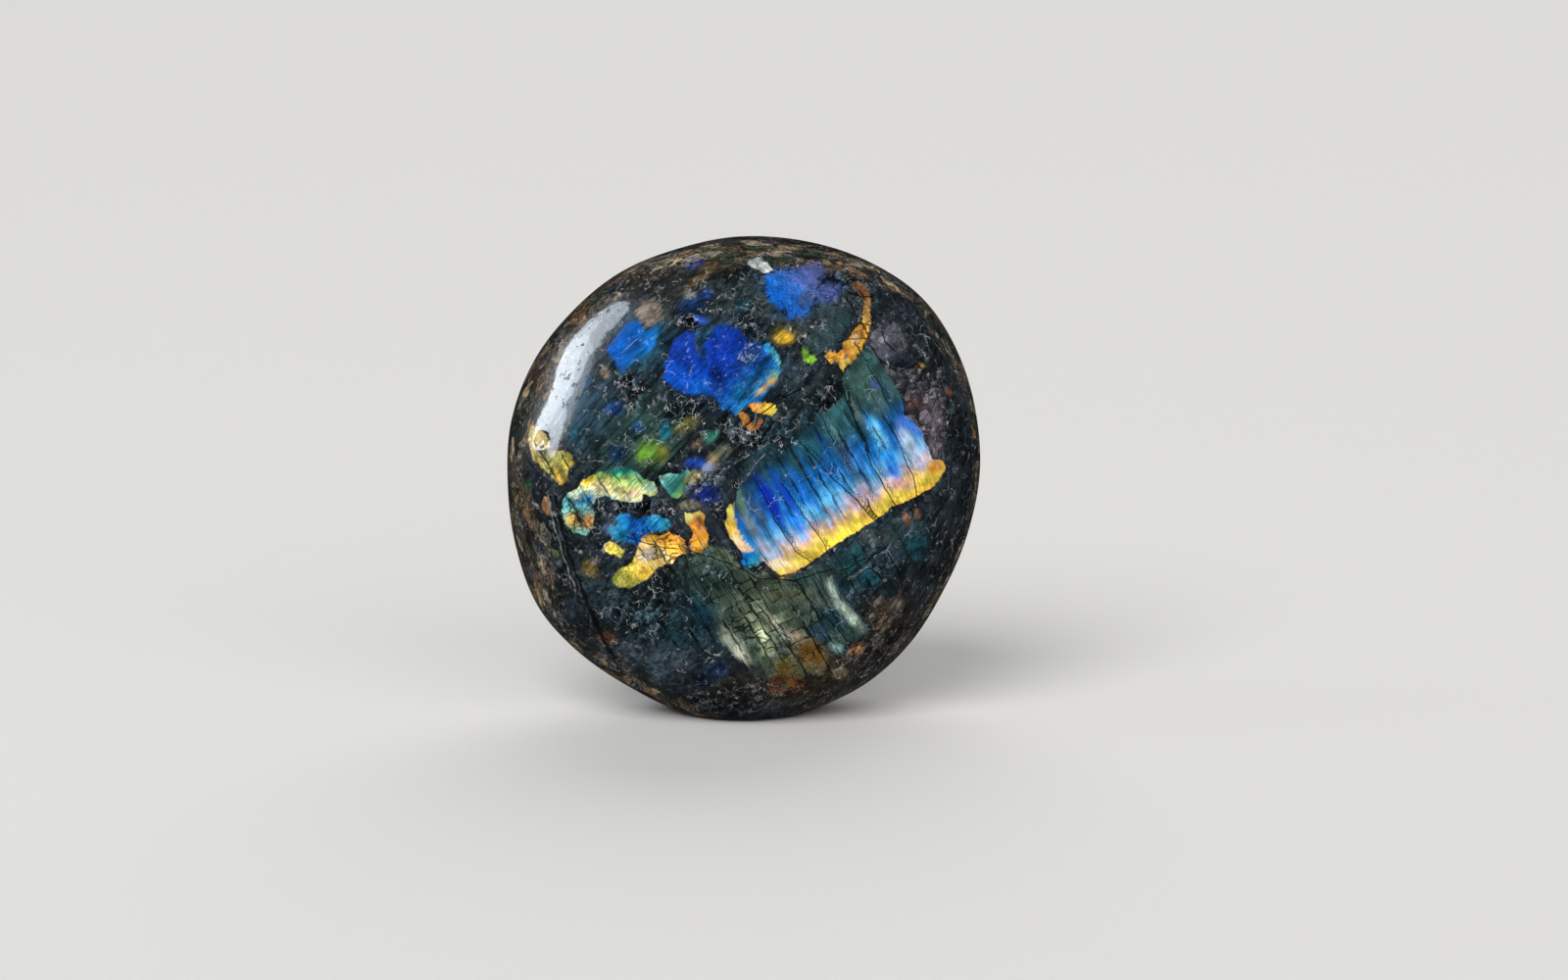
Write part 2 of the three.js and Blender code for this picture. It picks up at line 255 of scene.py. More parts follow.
# Crystals: name, half the width in millimetres over which the edge fades, run of the streaks, outline, where
# the run of colours starts and ends, and its colours with their places from 0 to 1
CRYSTALS = [
    ("wide flash", 0.12, STEEP,
     [(750, 514), (747, 530), (752, 548), (764, 560), (780, 573), (789, 582), (797, 587), (808, 585),
      (821, 578), (845, 561), (873, 543), (896, 528), (911, 517), (927, 510), (939, 505), (950, 499),
      (960, 487), (965, 477), (961, 470), (952, 469), (949, 461), (943, 450), (941, 440), (932, 431),
      (923, 423), (921, 409), (914, 396), (903, 378), (886, 353), (872, 368), (860, 384), (860, 404),
      (842, 420), (830, 431), (818, 444), (801, 461), (778, 474), (762, 488), (752, 500)],
     (881, 537), (803, 415),
     [(-0.02, GOLD), (0.03, LEMON), (0.07, (252, 220, 92)), (0.1, (246, 204, 122)), (0.13, PEACH),
      (0.165, LAVENDER),
      (0.21, ICE), (0.28, SKY), (0.4, AZURE), (0.5, (8, 88, 170)), (0.6, (16, 74, 118)),
      (0.7, (28, 72, 82)), (0.85, (42, 76, 74)), (1, PETROL)]),
    ("left arm", 0.15, STEEP,
     [(742, 516), (747, 514), (751, 524), (756, 538), (764, 552), (770, 562), (764, 566), (754, 560),
      (745, 550), (740, 536)],
     (742, 520), (766, 562), [(0, STRAW), (0.4, GOLD), (0.7, CREAM), (1, PEACH)]),
    ("arm's blue end", 0.15, STEEP,
     [(757, 562), (768, 561), (777, 568), (775, 577), (764, 581), (755, 574)],
     (757, 565), (775, 580), [(0, AZURE), (0.6, CYAN), (1, AQUA)]),
    ("upper left blue", 0.4, RISING,
     [(618, 353), (628, 345), (639, 332), (645, 328), (653, 330), (657, 338), (665, 334), (675, 331),
      (673, 343), (667, 355), (660, 362), (649, 370), (634, 379), (629, 370), (621, 362)],
     (628, 345), (668, 362), [(0, (8, 88, 186)), (0.5, (4, 90, 176)), (1, (10, 92, 126))]),
    ("middle cobalt", 0.45, RISING,
     [(676, 385), (682, 365), (688, 346), (700, 339), (708, 339), (712, 352), (717, 366), (724, 380),
      (728, 396), (722, 402), (704, 402), (692, 398)],
     (704, 345), (704, 400), [(0, (2, 52, 150)), (0.5, (0, 56, 164)), (1, (2, 78, 186))]),
    ("great cobalt", 0.45, RISING,
     [(718, 350), (730, 334), (746, 333), (756, 338), (762, 346), (775, 352), (787, 356), (795, 367),
      (796, 380), (791, 392), (784, 402), (776, 412), (764, 414), (752, 422), (738, 419), (730, 406),
      (722, 396), (721, 380), (720, 366)],
     (728, 345), (786, 396),
     [(0, COBALT), (0.35, (2, 52, 160)), (0.6, (4, 70, 156)), (0.85, (10, 100, 160)), (1, CYAN)]),
    ("cobalt's azure rim", 0.4, RISING,
     [(777, 353), (786, 352), (794, 362), (796, 372), (789, 371), (781, 364)],
     (779, 354), (796, 372), [(0, (22, 138, 204)), (1, AQUA)]),
    ("cobalt's gold foot", 0.15, RISING,
     [(763, 414), (772, 409), (782, 411), (791, 413), (793, 419), (787, 425), (777, 422), (769, 420)],
     (768, 412), (790, 420), [(0, AMBER), (1, LEMON)]),
    ("gold curl", 0.15, RISING,
     [(756, 420), (762, 424), (765, 431), (772, 432), (775, 427), (779, 429), (775, 437), (766, 439),
      (758, 434), (754, 426)],
     (755, 424), (775, 436), [(0, (206, 140, 52)), (1, RUST)]),
    ("top blue", 0.8, RISING,
     [(784, 280), (800, 275), (820, 272), (833, 267), (841, 275), (837, 284), (834, 297), (830, 311),
      (818, 322), (807, 323), (798, 315), (787, 306), (781, 296)],
     (792, 306), (834, 272),
     [(0, (12, 98, 200)), (0.35, (40, 104, 194)), (0.65, (84, 104, 172)), (1, (90, 96, 156))]),
    ("slate block", 0.5, 33,
     [(821, 345), (835, 333), (848, 322), (860, 316), (870, 321), (867, 334), (859, 341), (854, 350),
      (839, 360), (827, 359), (820, 352)],
     (824, 330), (866, 350), [(0, (58, 72, 74)), (1, (38, 62, 68))]),
    ("sage block", 0.5, STEEP,
     [(700, 564), (722, 557), (745, 562), (757, 577), (770, 584), (782, 582), (790, 590), (808, 589),
      (822, 583), (838, 573), (847, 580), (853, 592), (861, 606), (873, 622), (886, 636), (882, 648),
      (870, 655), (860, 667), (846, 672), (838, 690), (822, 687), (806, 702), (790, 700), (782, 686),
      (776, 677), (764, 679), (752, 673), (741, 658), (727, 648), (716, 638), (706, 622), (699, 598)],
     (726, 654), (868, 588),
     [(0, (26, 46, 56)), (0.14, (84, 100, 86)), (0.24, (60, 78, 68)), (0.36, (98, 110, 88)),
      (0.5, (66, 82, 68)), (0.62, (84, 98, 80)), (0.76, (46, 70, 70)), (1, (22, 54, 66))]),
    ("first slate", 0.12, 33,
     [(852, 566), (864, 557), (874, 557), (881, 562), (883, 572), (876, 581), (868, 586), (858, 581)],
     (856, 566), (880, 580), [(0, (44, 74, 80)), (1, (34, 84, 92))]),
    ("second slate", 0.12, 33,
     [(876, 546), (884, 540), (898, 541), (908, 547), (910, 553), (900, 558), (889, 558), (879, 554)],
     (880, 544), (908, 554), [(0, (66, 74, 78)), (1, (52, 66, 66))]),
    ("third slate", 0.12, 33,
     [(890, 566), (900, 560), (911, 555), (918, 562), (920, 572), (914, 583), (902, 587), (894, 580)],
     (892, 564), (918, 582), [(0, (54, 70, 80)), (1, (46, 60, 70))]),
    ("fourth slate", 0.12, 33,
     [(875, 588), (884, 581), (893, 580), (900, 588), (899, 593), (890, 599), (880, 599)],
     (876, 584), (898, 598), [(0, (36, 92, 104)), (1, (30, 76, 88))]),
    ("fifth slate", 0.2, 33,
     [(926, 552), (936, 546), (946, 550), (948, 562), (940, 574), (930, 572), (925, 562)],
     (926, 550), (946, 572), [(0, (30, 78, 88)), (1, (26, 56, 64))]),
    ("sixth slate", 0.15, 33,
     [(905, 532), (917, 528), (925, 536), (922, 546), (912, 549), (905, 542)],
     (906, 530), (922, 546), [(0, (56, 70, 72)), (1, (40, 60, 64))]),
    ("seventh slate", 0.15, 33,
     [(846, 587), (858, 584), (868, 589), (870, 598), (860, 605), (849, 599)],
     (848, 586), (868, 602), [(0, (60, 82, 80)), (1, (28, 62, 72))]),
    ("eighth slate", 0.15, 33,
     [(896, 601), (908, 591), (918, 595), (916, 607), (904, 613)],
     (898, 596), (914, 610), [(0, (36, 54, 62)), (1, (28, 42, 50))]),
    ("lime spot", 0.25, RISING,
     [(819, 351), (822, 358), (829, 362), (833, 366), (828, 371), (821, 369), (819, 361)],
     (819, 354), (828, 370), [(0, LEAF), (1, LIME)]),
    ("gold hook", 0.15, -70,
     [(869, 288), (877, 286), (884, 292), (889, 304), (887, 318), (889, 330), (886, 343), (880, 355),
      (873, 365), (866, 371), (859, 379), (855, 373), (858, 362), (861, 351), (868, 343), (872, 335),
      (879, 329), (881, 318), (880, 306), (873, 297)],
     (876, 288), (862, 378),
     [(0, (120, 78, 46)), (0.3, (160, 120, 78)), (0.42, (200, 150, 80)), (0.5, GOLD), (0.7, AMBER),
      (0.85, (226, 170, 80)), (1, LEMON)]),
    # Painted highlight and shade: the grey grain's colours run from pale at its upper left to dark at its
    # lower right
    ("grey grain", 0.2, RISING,
     [(888, 343), (895, 335), (908, 337), (918, 344), (921, 353), (914, 359), (903, 362), (894, 366),
      (889, 356)],
     (892, 340), (918, 360), [(0, (122, 120, 130)), (0.5, (86, 88, 100)), (1, (54, 58, 68))]),
    ("dark grain", 0.2, RISING,
     [(905, 363), (916, 360), (927, 361), (932, 369), (926, 376), (914, 374), (906, 370)],
     (906, 362), (930, 374), [(0, (66, 72, 84)), (1, (28, 34, 44))]),
    ("gold hook's tail", 0.15, RISING,
     [(841, 364), (848, 360), (855, 361), (860, 357), (863, 363), (856, 370), (848, 372)],
     (842, 364), (860, 364), [(0, GOLD), (1, AMBER)]),
    ("white chip", 0.12, RISING,
     [(760, 267), (772, 263), (783, 268), (788, 275), (780, 278), (771, 275)],
     (762, 268), (786, 276), [(0, (170, 178, 176)), (0.5, CHIP_WHITE), (1, CHIP_WHITE)]),
    ("beige crystal", 0.5, RISING,
     [(647, 320), (655, 309), (668, 305), (676, 314), (675, 326), (663, 334), (655, 328)],
     (650, 318), (674, 322), [(0, (140, 130, 118)), (1, (112, 102, 92))]),
    ("golden arc", 0.15, 58,
     [(574, 510), (580, 503), (590, 498), (596, 489), (606, 485), (614, 481), (625, 477), (640, 478),
      (652, 483), (658, 490), (668, 492), (672, 499), (670, 504), (663, 506), (656, 503), (655, 512),
      (641, 513), (629, 509), (617, 505), (609, 508), (606, 517), (607, 525), (605, 539), (598, 545),
      (586, 544), (577, 537), (573, 527)],
     (622, 474), (613, 512),
     [(0, (20, 134, 124)), (0.2, (96, 170, 104)), (0.4, (206, 214, 108)), (0.6, (246, 236, 150)),
      (0.85, CREAM),
      (1, AQUA)]),
    ("turquoise links", 0.15, 58,
     [(673, 485), (684, 482), (696, 483), (702, 478), (706, 484), (702, 493), (697, 503), (690, 510),
      (684, 505), (678, 497), (674, 491)],
     (676, 486), (698, 504),
     [(0, (150, 210, 196)), (0.4, (80, 184, 184)), (0.8, (70, 150, 120)), (1, LEAF)]),
    ("blue heart", 0.3, 50,
     [(620, 541), (624, 532), (632, 526), (641, 525), (650, 530), (661, 527), (672, 526), (683, 530),
      (684, 538), (676, 543), (664, 544), (655, 549), (653, 558), (646, 556), (640, 551), (631, 554),
      (624, 550)],
     (624, 535), (680, 540),
     [(0, (70, 140, 180)), (0.15, (24, 146, 206)), (0.3, (20, 120, 190)), (0.45, (6, 60, 150)),
      (0.7, (10, 110, 180)),
      (1, (60, 160, 180))]),
    ("amber field", 0.12, -35,
     [(652, 549), (662, 545), (673, 546), (684, 542), (693, 546), (700, 552), (702, 560), (699, 567),
      (691, 568), (686, 575), (673, 579), (665, 585), (656, 587), (652, 580), (646, 574), (649, 562)],
     (682, 544), (662, 584), [(0, (226, 150, 52)), (0.35, GOLD), (0.6, CREAM), (0.8, GOLD), (1, LEMON)]),
    ("amber column", 0.12, -70,
     [(698, 521), (705, 525), (715, 520), (720, 525), (718, 536), (724, 546), (722, 554), (720, 562),
      (711, 565), (704, 561), (703, 552), (707, 543), (700, 534)],
     (700, 524), (716, 562),
     [(0, STRAW), (0.2, (216, 170, 90)), (0.3, (150, 84, 30)), (0.45, (236, 154, 44)), (0.8, AMBER),
      (1, GOLD)]),
    ("small yellow", 0.2, RISING,
     [(613, 556), (622, 553), (630, 557), (637, 563), (635, 569), (627, 567), (618, 562)],
     (614, 555), (636, 567), [(0, CREAM), (0.5, LEMON), (1, STRAW)]),
    ("straw field", 0.3, RISING,
     [(625, 590), (632, 580), (642, 576), (650, 573), (660, 578), (668, 584), (660, 591), (650, 596),
      (640, 600),
      (629, 600)],
     (656, 576), (630, 598), [(0, GOLD), (0.3, LEMON), (0.6, STRAW), (1, (150, 150, 60))]),
    ("edge gold", 0.2, 60,
     [(541, 437), (547, 432), (553, 440), (560, 447), (565, 459), (574, 459), (582, 464), (585, 472),
      (581, 481), (579, 490), (573, 496), (566, 489), (560, 483), (552, 478), (545, 470), (541, 460),
      (540, 448)],
     (546, 440), (576, 490),
     [(0, (222, 206, 136)), (0.3, (214, 186, 134)), (0.55, STRAW), (0.75, (176, 180, 100)), (1, GOLD)]),
    ("edge tan", 0.2, 75,
     [(555, 507), (560, 506), (563, 517), (561, 527), (556, 524), (553, 515)],
     (557, 508), (558, 526), [(0, (204, 156, 112)), (1, (150, 104, 72))]),
]

# Soft patches of colour inside the crystals: x, y, half length, half width, turn, strength, colour
INNER_GLOWS = [
    (766, 486, 22, 9, 40, 0.9, (12, 38, 56)),
    (798, 463, 28, 8, 36, 0.8, (16, 52, 66)),
    (830, 437, 22, 9, 42, 0.8, (18, 48, 56)),
    (862, 396, 22, 9, 60, 0.7, (34, 58, 62)),
    (786, 512, 34, 9, -62, 1.0, (0, 44, 180)),
    (802, 506, 30, 6, -62, 0.8, (2, 62, 192)),
    (818, 500, 26, 6, -60, 0.9, (20, 110, 210)),
    (812, 532, 22, 6, -58, 0.95, (30, 130, 240)),
    (830, 524, 14, 6, -50, 0.9, (92, 190, 246)),
    (846, 508, 22, 7, -56, 0.9, (84, 184, 244)),
    (842, 478, 18, 5, -58, 0.6, (22, 84, 150)),
    (868, 470, 40, 10, -58, 0.75, (66, 88, 104)),
    (864, 494, 16, 5, -56, 0.8, (70, 160, 226)),
    (876, 474, 22, 5, -58, 0.85, (40, 130, 220)),
    (883, 504, 16, 8, -54, 0.8, (176, 150, 168)),
    (870, 512, 10, 6, -50, 0.8, (206, 170, 186)),
    (864, 422, 24, 5, -62, 0.7, (74, 116, 118)),
    (846, 442, 20, 5, -60, 0.7, (64, 116, 124)),
    (880, 428, 26, 4, -62, 0.8, (50, 54, 46)),
    (899, 450, 34, 9, -62, 1.0, (60, 176, 244)),
    (898, 446, 20, 5, -62, 1.0, (128, 214, 250)),
    (910, 468, 24, 7, -62, 0.9, (36, 150, 246)),
    (911, 482, 14, 5, -58, 0.9, (12, 120, 244)),
    (929, 456, 26, 9, -62, 0.95, (190, 214, 240)),
    (940, 470, 10, 8, -62, 0.9, (214, 206, 232)),
    (921, 430, 9, 7, -50, 0.9, PERIWINKLE),
    (936, 438, 10, 7, -50, 0.9, PERIWINKLE),
    (921, 494, 16, 7, -10, 0.85, (230, 170, 160)),
    (955, 477, 9, 7, 40, 0.95, (234, 146, 50)),
    (860, 550, 22, 6, 33, 0.9, (252, 226, 70)),
    (886, 522, 12, 7, 33, 0.6, (150, 96, 60)),
    (776, 528, 30, 6, -62, 0.9, (60, 96, 130)),
    (766, 536, 24, 6, -62, 0.9, (120, 132, 128)),
    (757, 512, 18, 5, -65, 0.9, (96, 128, 92)),
    (793, 576, 18, 6, 15, 0.9, CREAM),
    (808, 582, 14, 5, 30, 0.8, (240, 190, 120)),
    (780, 560, 12, 6, -50, 0.8, (176, 164, 176)),
    (884, 396, 34, 20, -60, 0.9, (60, 90, 84)),
    (860, 432, 26, 20, -60, 0.85, (46, 96, 100)),
    (826, 458, 18, 14, -60, 0.7, (24, 80, 94)),
    (895, 408, 20, 8, -60, 0.6, (66, 98, 92)),
    (728, 590, 42, 26, -20, 0.95, (26, 43, 38)),
    (716, 622, 20, 16, -40, 0.8, (24, 56, 66)),
    (848, 582, 12, 10, 0, 0.7, (56, 74, 66)),
    (750, 658, 28, 9, -56, 1.0, (152, 162, 142)),
    (756, 667, 14, 5, -54, 1.0, (214, 216, 194)),
    (768, 636, 30, 10, -54, 0.8, (126, 138, 110)),
    (780, 652, 22, 8, -56, 0.95, (172, 186, 150)),
    (790, 634, 20, 6, -46, 0.95, (166, 172, 146)),
    (812, 650, 14, 9, -20, 1.0, (198, 188, 156)),
    (866, 606, 14, 10, -60, 0.8, (8, 44, 64)),
    (806, 606, 34, 12, 4, 0.5, (112, 116, 88)),
    (786, 664, 10, 5, 10, 0.9, (196, 202, 150)),
    (849, 602, 16, 5, -66, 0.95, (168, 188, 172)),
    (866, 626, 28, 6, -50, 1.0, (182, 202, 182)),
    (853, 661, 9, 4, -46, 0.95, (156, 200, 200)),
    (846, 630, 22, 9, -40, 0.9, (16, 58, 74)),
    (836, 646, 16, 10, -30, 0.9, (46, 80, 98)),
    (830, 618, 14, 8, 10, 0.6, (104, 118, 110)),
    (828, 668, 24, 17, -40, 0.95, (122, 88, 34)),
    (802, 684, 18, 15, -50, 0.95, (94, 78, 30)),
    (716, 630, 24, 14, -40, 0.8, (14, 48, 62)),
    (792, 697, 12, 9, 0, 0.9, (84, 46, 24)),
    (811, 697, 9, 8, 30, 0.9, (122, 70, 34)),
    (713, 346, 18, 4, 80, 0.85, (46, 66, 88)),
    (677, 352, 14, 6, 70, 0.8, (18, 72, 84)),
    (686, 381, 12, 9, 40, 0.9, (4, 84, 206)),
    (733, 385, 15, 9, -50, 0.9, (3, 22, 80)),
    (757, 346, 10, 9, 0, 0.7, (6, 34, 108)),
    (765, 363, 16, 11, 40, 0.6, (40, 56, 78)),
    (717, 394, 12, 7, 30, 0.8, (2, 92, 186)),
    (741, 411, 9, 7, 0, 0.9, (2, 84, 166)),
    (757, 397, 18, 6, 45, 0.7, (4, 92, 132)),
    (781, 368, 15, 3.5, 45, 0.85, (4, 26, 52)),
    (772, 385, 18, 4, 45, 0.85, (6, 28, 48)),
    (762, 402, 16, 3, 45, 0.8, (6, 28, 48)),
    (788, 384, 9, 6, 40, 0.8, (96, 150, 150)),
    (788, 389, 7, 5, 20, 0.9, (212, 172, 84)),
    (648, 352, 16, 4, 45, 0.6, (6, 52, 116)),
    (652, 371, 12, 5, 40, 0.8, (14, 74, 84)),
    (664, 350, 8, 14, 0, 0.5, (6, 120, 226)),
    (820, 308, 10, 10, 0, 0.5, (24, 64, 120)),
    (832, 288, 12, 7, 30, 0.6, (66, 84, 130)),
    (822, 304, 12, 6, 40, 0.5, (72, 80, 84)),
    (598, 510, 15, 8, 20, 1.0, (20, 134, 186)),
    (579, 512, 7, 9, 0, 0.9, (84, 160, 176)),
    (601, 532, 10, 10, -60, 1.0, (240, 172, 96)),
    (584, 531, 11, 11, -60, 1.0, (242, 204, 104)),
    (592, 532, 12, 2.5, -75, 0.8, (120, 64, 22)),
    (583, 543, 12, 3, -10, 0.9, (110, 150, 60)),
    (600, 490, 10, 7, 30, 0.95, (250, 214, 66)),
    (613, 499, 9, 6, 20, 0.9, (252, 244, 190)),
    (632, 479, 16, 6, 5, 0.9, (14, 146, 140)),
    (646, 490, 12, 8, 30, 0.7, (170, 214, 140)),
    (663, 497, 9, 7, 0, 0.9, (176, 220, 200)),
    (646, 505, 12, 4, 10, 0.8, (238, 206, 186)),
    (669, 490, 3.5, 4, 0, 0.9, (230, 150, 60)),
    (694, 506, 6, 5, 0, 0.9, (150, 190, 60)),
    (703, 488, 6, 8, -60, 0.8, (150, 150, 90)),
    (635, 548, 8, 6, 0, 0.8, (10, 104, 130)),
    (650, 548, 4, 9, 0, 0.5, (0, 90, 190)),
    (662, 567, 10, 7, 20, 0.9, (252, 242, 226)),
    (714, 530, 5, 7, 0, 0.9, (112, 60, 22)),
    (702, 528, 5, 8, 0, 0.8, (206, 206, 120)),
    (690, 562, 12, 8, 20, 0.6, (240, 176, 70)),
    (676, 552, 12, 3, 20, 0.7, (150, 92, 36)),
    (640, 590, 8, 4, 30, 0.7, (120, 96, 40)),
    (863, 365, 3, 5, -30, 0.95, (104, 76, 104)),
    (872, 345, 6, 3, 60, 0.9, (255, 236, 176)),
    (861, 356, 4, 4, 0, 0.8, (150, 90, 40)),
    (880, 341, 3, 8, -20, 0.7, (150, 96, 44)),
    (884, 314, 2.5, 8, 0, 0.7, (206, 160, 100)),
    (912, 398, 22, 8, -60, 0.95, (58, 92, 92)),
    (872, 416, 20, 3, -60, 0.8, (104, 128, 120)),
    (893, 393, 6, 4, -40, 0.8, (66, 92, 160)),
    (852, 440, 16, 3, -60, 0.7, (96, 132, 132)),
    # Painted highlight on the grey grain's left facets, painted shade at its right and a painted shadow
    # below it
    (900, 346, 8, 4, 45, 0.8, (156, 154, 162)),
    (912, 352, 5, 4, 0, 0.7, (58, 60, 72)),
    (893, 358, 4, 6, 0, 0.7, (48, 50, 60)),
    (779, 397, 11, 3.5, 35, 0.9, (214, 178, 96)),
    (790, 381, 6, 5, 0, 0.8, (110, 170, 150)),
    (898, 380, 12, 9, -60, 0.8, (44, 72, 70)),
]

# Soft patches of colour in the dark rock: the same columns
GROUND_GLOWS = [
    (600, 420, 44, 50, 60, 0.8, (38, 60, 74)),
    (652, 446, 62, 42, 40, 0.9, (38, 64, 60)),
    (690, 300, 54, 34, 35, 0.6, (50, 52, 46)),
    (770, 300, 64, 30, 10, 0.75, (42, 50, 52)),
    (850, 310, 44, 40, 20, 0.6, (52, 64, 64)),
    (650, 350, 40, 36, 30, 0.7, (22, 66, 84)),
    (735, 372, 74, 50, -10, 0.8, (14, 52, 76)),
    (808, 296, 44, 38, 0, 0.6, (24, 56, 84)),
    (800, 404, 60, 30, 30, 0.5, (30, 44, 46)),
    (800, 450, 80, 20, 36, 0.7, (18, 46, 54)),
    (905, 366, 30, 42, 0, 0.6, (84, 84, 90)),
    (944, 430, 24, 60, 0, 0.7, (84, 78, 82)),
    (890, 566, 66, 38, 33, 0.95, (40, 64, 70)),
    (730, 596, 66, 36, -10, 0.95, (30, 46, 42)),
    (690, 640, 62, 34, 0, 0.8, (26, 54, 62)),
    (620, 610, 50, 44, -30, 0.6, (34, 50, 56)),
    (640, 676, 66, 34, -20, 0.6, (50, 62, 70)),
    (770, 700, 70, 24, 0, 0.6, (58, 56, 48)),
    (840, 686, 60, 30, 30, 0.6, (66, 52, 34)),
    (904, 640, 34, 52, -30, 0.7, (48, 41, 32)),
    (562, 560, 24, 60, -10, 0.6, (28, 44, 46)),
    (672, 460, 24, 20, 30, 0.7, (36, 60, 50)),
    (800, 342, 18, 13, 10, 0.85, OLIVE),
    (800, 345, 11, 8, 0, 0.95, (214, 170, 44)),
    (846, 297, 18, 12, 20, 0.8, (70, 84, 150)),
    (836, 276, 20, 8, -10, 0.5, (66, 72, 120)),
    (779, 311, 13, 14, 0, 0.7, (62, 72, 68)),
    (758, 311, 11, 8, 20, 0.7, (20, 72, 88)),
    (708, 267, 12, 7, 10, 0.9, (52, 76, 178)),
    (742, 273, 16, 9, 20, 0.9, (58, 56, 38)),
    (720, 277, 32, 6, 40, 0.8, (108, 86, 54)),
    (706, 312, 20, 13, 30, 0.8, (10, 44, 88)),
    (720, 300, 8, 5, 0, 0.7, (30, 66, 130)),
    (714, 327, 9, 5, 0, 0.8, (28, 78, 182)),
    (704, 301, 7, 5, 10, 0.7, (130, 132, 130)),
    (720, 342, 5, 6, 0, 0.8, (20, 70, 90)),
    (782, 252, 7, 5, 0, 0.8, (130, 76, 46)),
    (618, 380, 6, 6, 0, 0.8, (168, 150, 128)),
    # Painted reflection: a bluish haze at the inner edge of the shoulder's highlight
    (600, 386, 6, 12, 0, 0.7, (56, 92, 136)),
    (596, 325, 8, 6, 0, 0.8, (48, 46, 80)),
    (627, 417, 11, 8, 0, 0.85, (20, 58, 116)),
    (651, 436, 8, 7, 0, 0.7, (18, 66, 120)),
    (586, 442, 8, 9, 0, 0.8, (14, 68, 88)),
    (678, 438, 7, 14, -10, 0.8, (4, 96, 116)),
    (630, 463, 12, 10, 0, 0.8, (10, 44, 80)),
    (664, 462, 18, 17, 20, 0.9, (66, 100, 26)),
    (658, 463, 8, 8, 0, 0.8, (90, 140, 30)),
    (676, 463, 8, 10, 0, 0.7, (116, 112, 40)),
    (702, 433, 17, 8, 30, 0.9, (84, 82, 24)),
    (724, 445, 9, 7, 20, 0.9, (56, 130, 112)),
    (738, 459, 10, 8, 20, 0.6, (134, 140, 116)),
    (712, 453, 8, 6, 0, 0.7, (96, 76, 56)),
    (710, 472, 12, 7, 10, 0.9, (22, 74, 184)),
    (723, 476, 9, 6, 10, 0.8, (122, 132, 164)),
    (728, 468, 7, 8, 20, 0.6, (164, 144, 100)),
    (720, 505, 17, 12, 0, 0.95, (6, 26, 88)),
    (709, 516, 10, 4, 0, 0.7, (104, 98, 88)),
    (536, 499, 6, 11, 0, 0.8, (22, 104, 68)),
    (538, 438, 6, 10, 0, 0.7, (58, 34, 44)),
    (620, 540, 8, 7, 0, 0.8, (84, 112, 150)),
    (603, 580, 12, 9, -40, 0.8, (104, 88, 40)),
    (644, 514, 40, 8, 0, 0.5, (20, 34, 50)),
    (700, 515, 10, 5, 10, 0.8, (110, 104, 84)),
    (708, 487, 7, 7, 20, 0.8, (140, 132, 90)),
    (566, 566, 12, 9, 0, 0.5, (60, 76, 40)),
    (905, 351, 18, 16, 0, 0.8, GREY_GRAIN),
    (918, 367, 14, 9, 0, 0.8, (42, 46, 56)),
    (940, 373, 5, 4, 0, 0.8, (142, 118, 60)),
    (933, 412, 11, 9, 0, 0.8, (108, 84, 80)),
    (952, 430, 13, 30, 0, 0.7, (92, 84, 94)),
    (969, 400, 4, 6, 0, 0.8, (118, 76, 52)),
    (971, 417, 5, 7, 0, 0.8, (88, 118, 104)),
    (866, 570, 18, 13, 33, 0.8, (36, 76, 82)),
    (889, 590, 13, 11, 33, 0.8, (30, 80, 90)),
    (905, 572, 16, 14, 33, 0.8, (46, 60, 68)),
    (893, 548, 16, 9, 33, 0.8, (62, 68, 74)),
    (924, 530, 5, 8, 10, 0.85, (140, 100, 80)),
    (936, 524, 4, 6, 10, 0.8, (150, 108, 84)),
    (912, 607, 8, 16, 20, 0.8, (112, 100, 88)),
    (940, 555, 12, 20, 0, 0.6, (28, 64, 72)),
    (792, 700, 13, 9, 0, 0.9, (76, 44, 24)),
    (812, 700, 11, 9, 0, 0.9, (98, 60, 32)),
    (855, 685, 9, 8, 0, 0.85, (122, 112, 82)),
    (873, 662, 9, 8, 0, 0.8, (128, 86, 52)),
    (674, 676, 30, 19, -15, 0.85, (64, 80, 92)),
    (622, 628, 18, 18, 0, 0.8, (40, 58, 70)),
    (732, 684, 15, 10, 0, 0.85, (18, 42, 74)),
    (718, 694, 10, 8, 0, 0.8, (14, 36, 66)),
    (717, 636, 10, 9, 0, 0.7, (16, 68, 80)),
    (684, 614, 30, 20, 0, 0.6, (34, 48, 56)),
    (619, 650, 14, 11, 0, 0.7, (92, 62, 36)),
    (697, 719, 10, 7, 0, 0.7, (112, 86, 46)),
    (900, 626, 16, 18, 0, 0.6, (96, 80, 64)),
]

# Where small cracks crowd the rock: x, y, half length, half width, turn, how strong from 0 to 1
CRACKLE = [
    (790, 630, 96, 56, -30, 1.0),
    (850, 470, 100, 64, 40, 0.6),
    (740, 590, 56, 34, -10, 1.0),
    (890, 580, 50, 36, 30, 0.7),
    (680, 560, 50, 30, 10, 0.9),
    (590, 525, 26, 26, 0, 0.9),
    (630, 495, 46, 16, 10, 0.6),
    (562, 465, 30, 34, 0, 0.8),
    (690, 640, 50, 26, 0, 0.8),
    (876, 330, 16, 46, 0, 0.8),
]

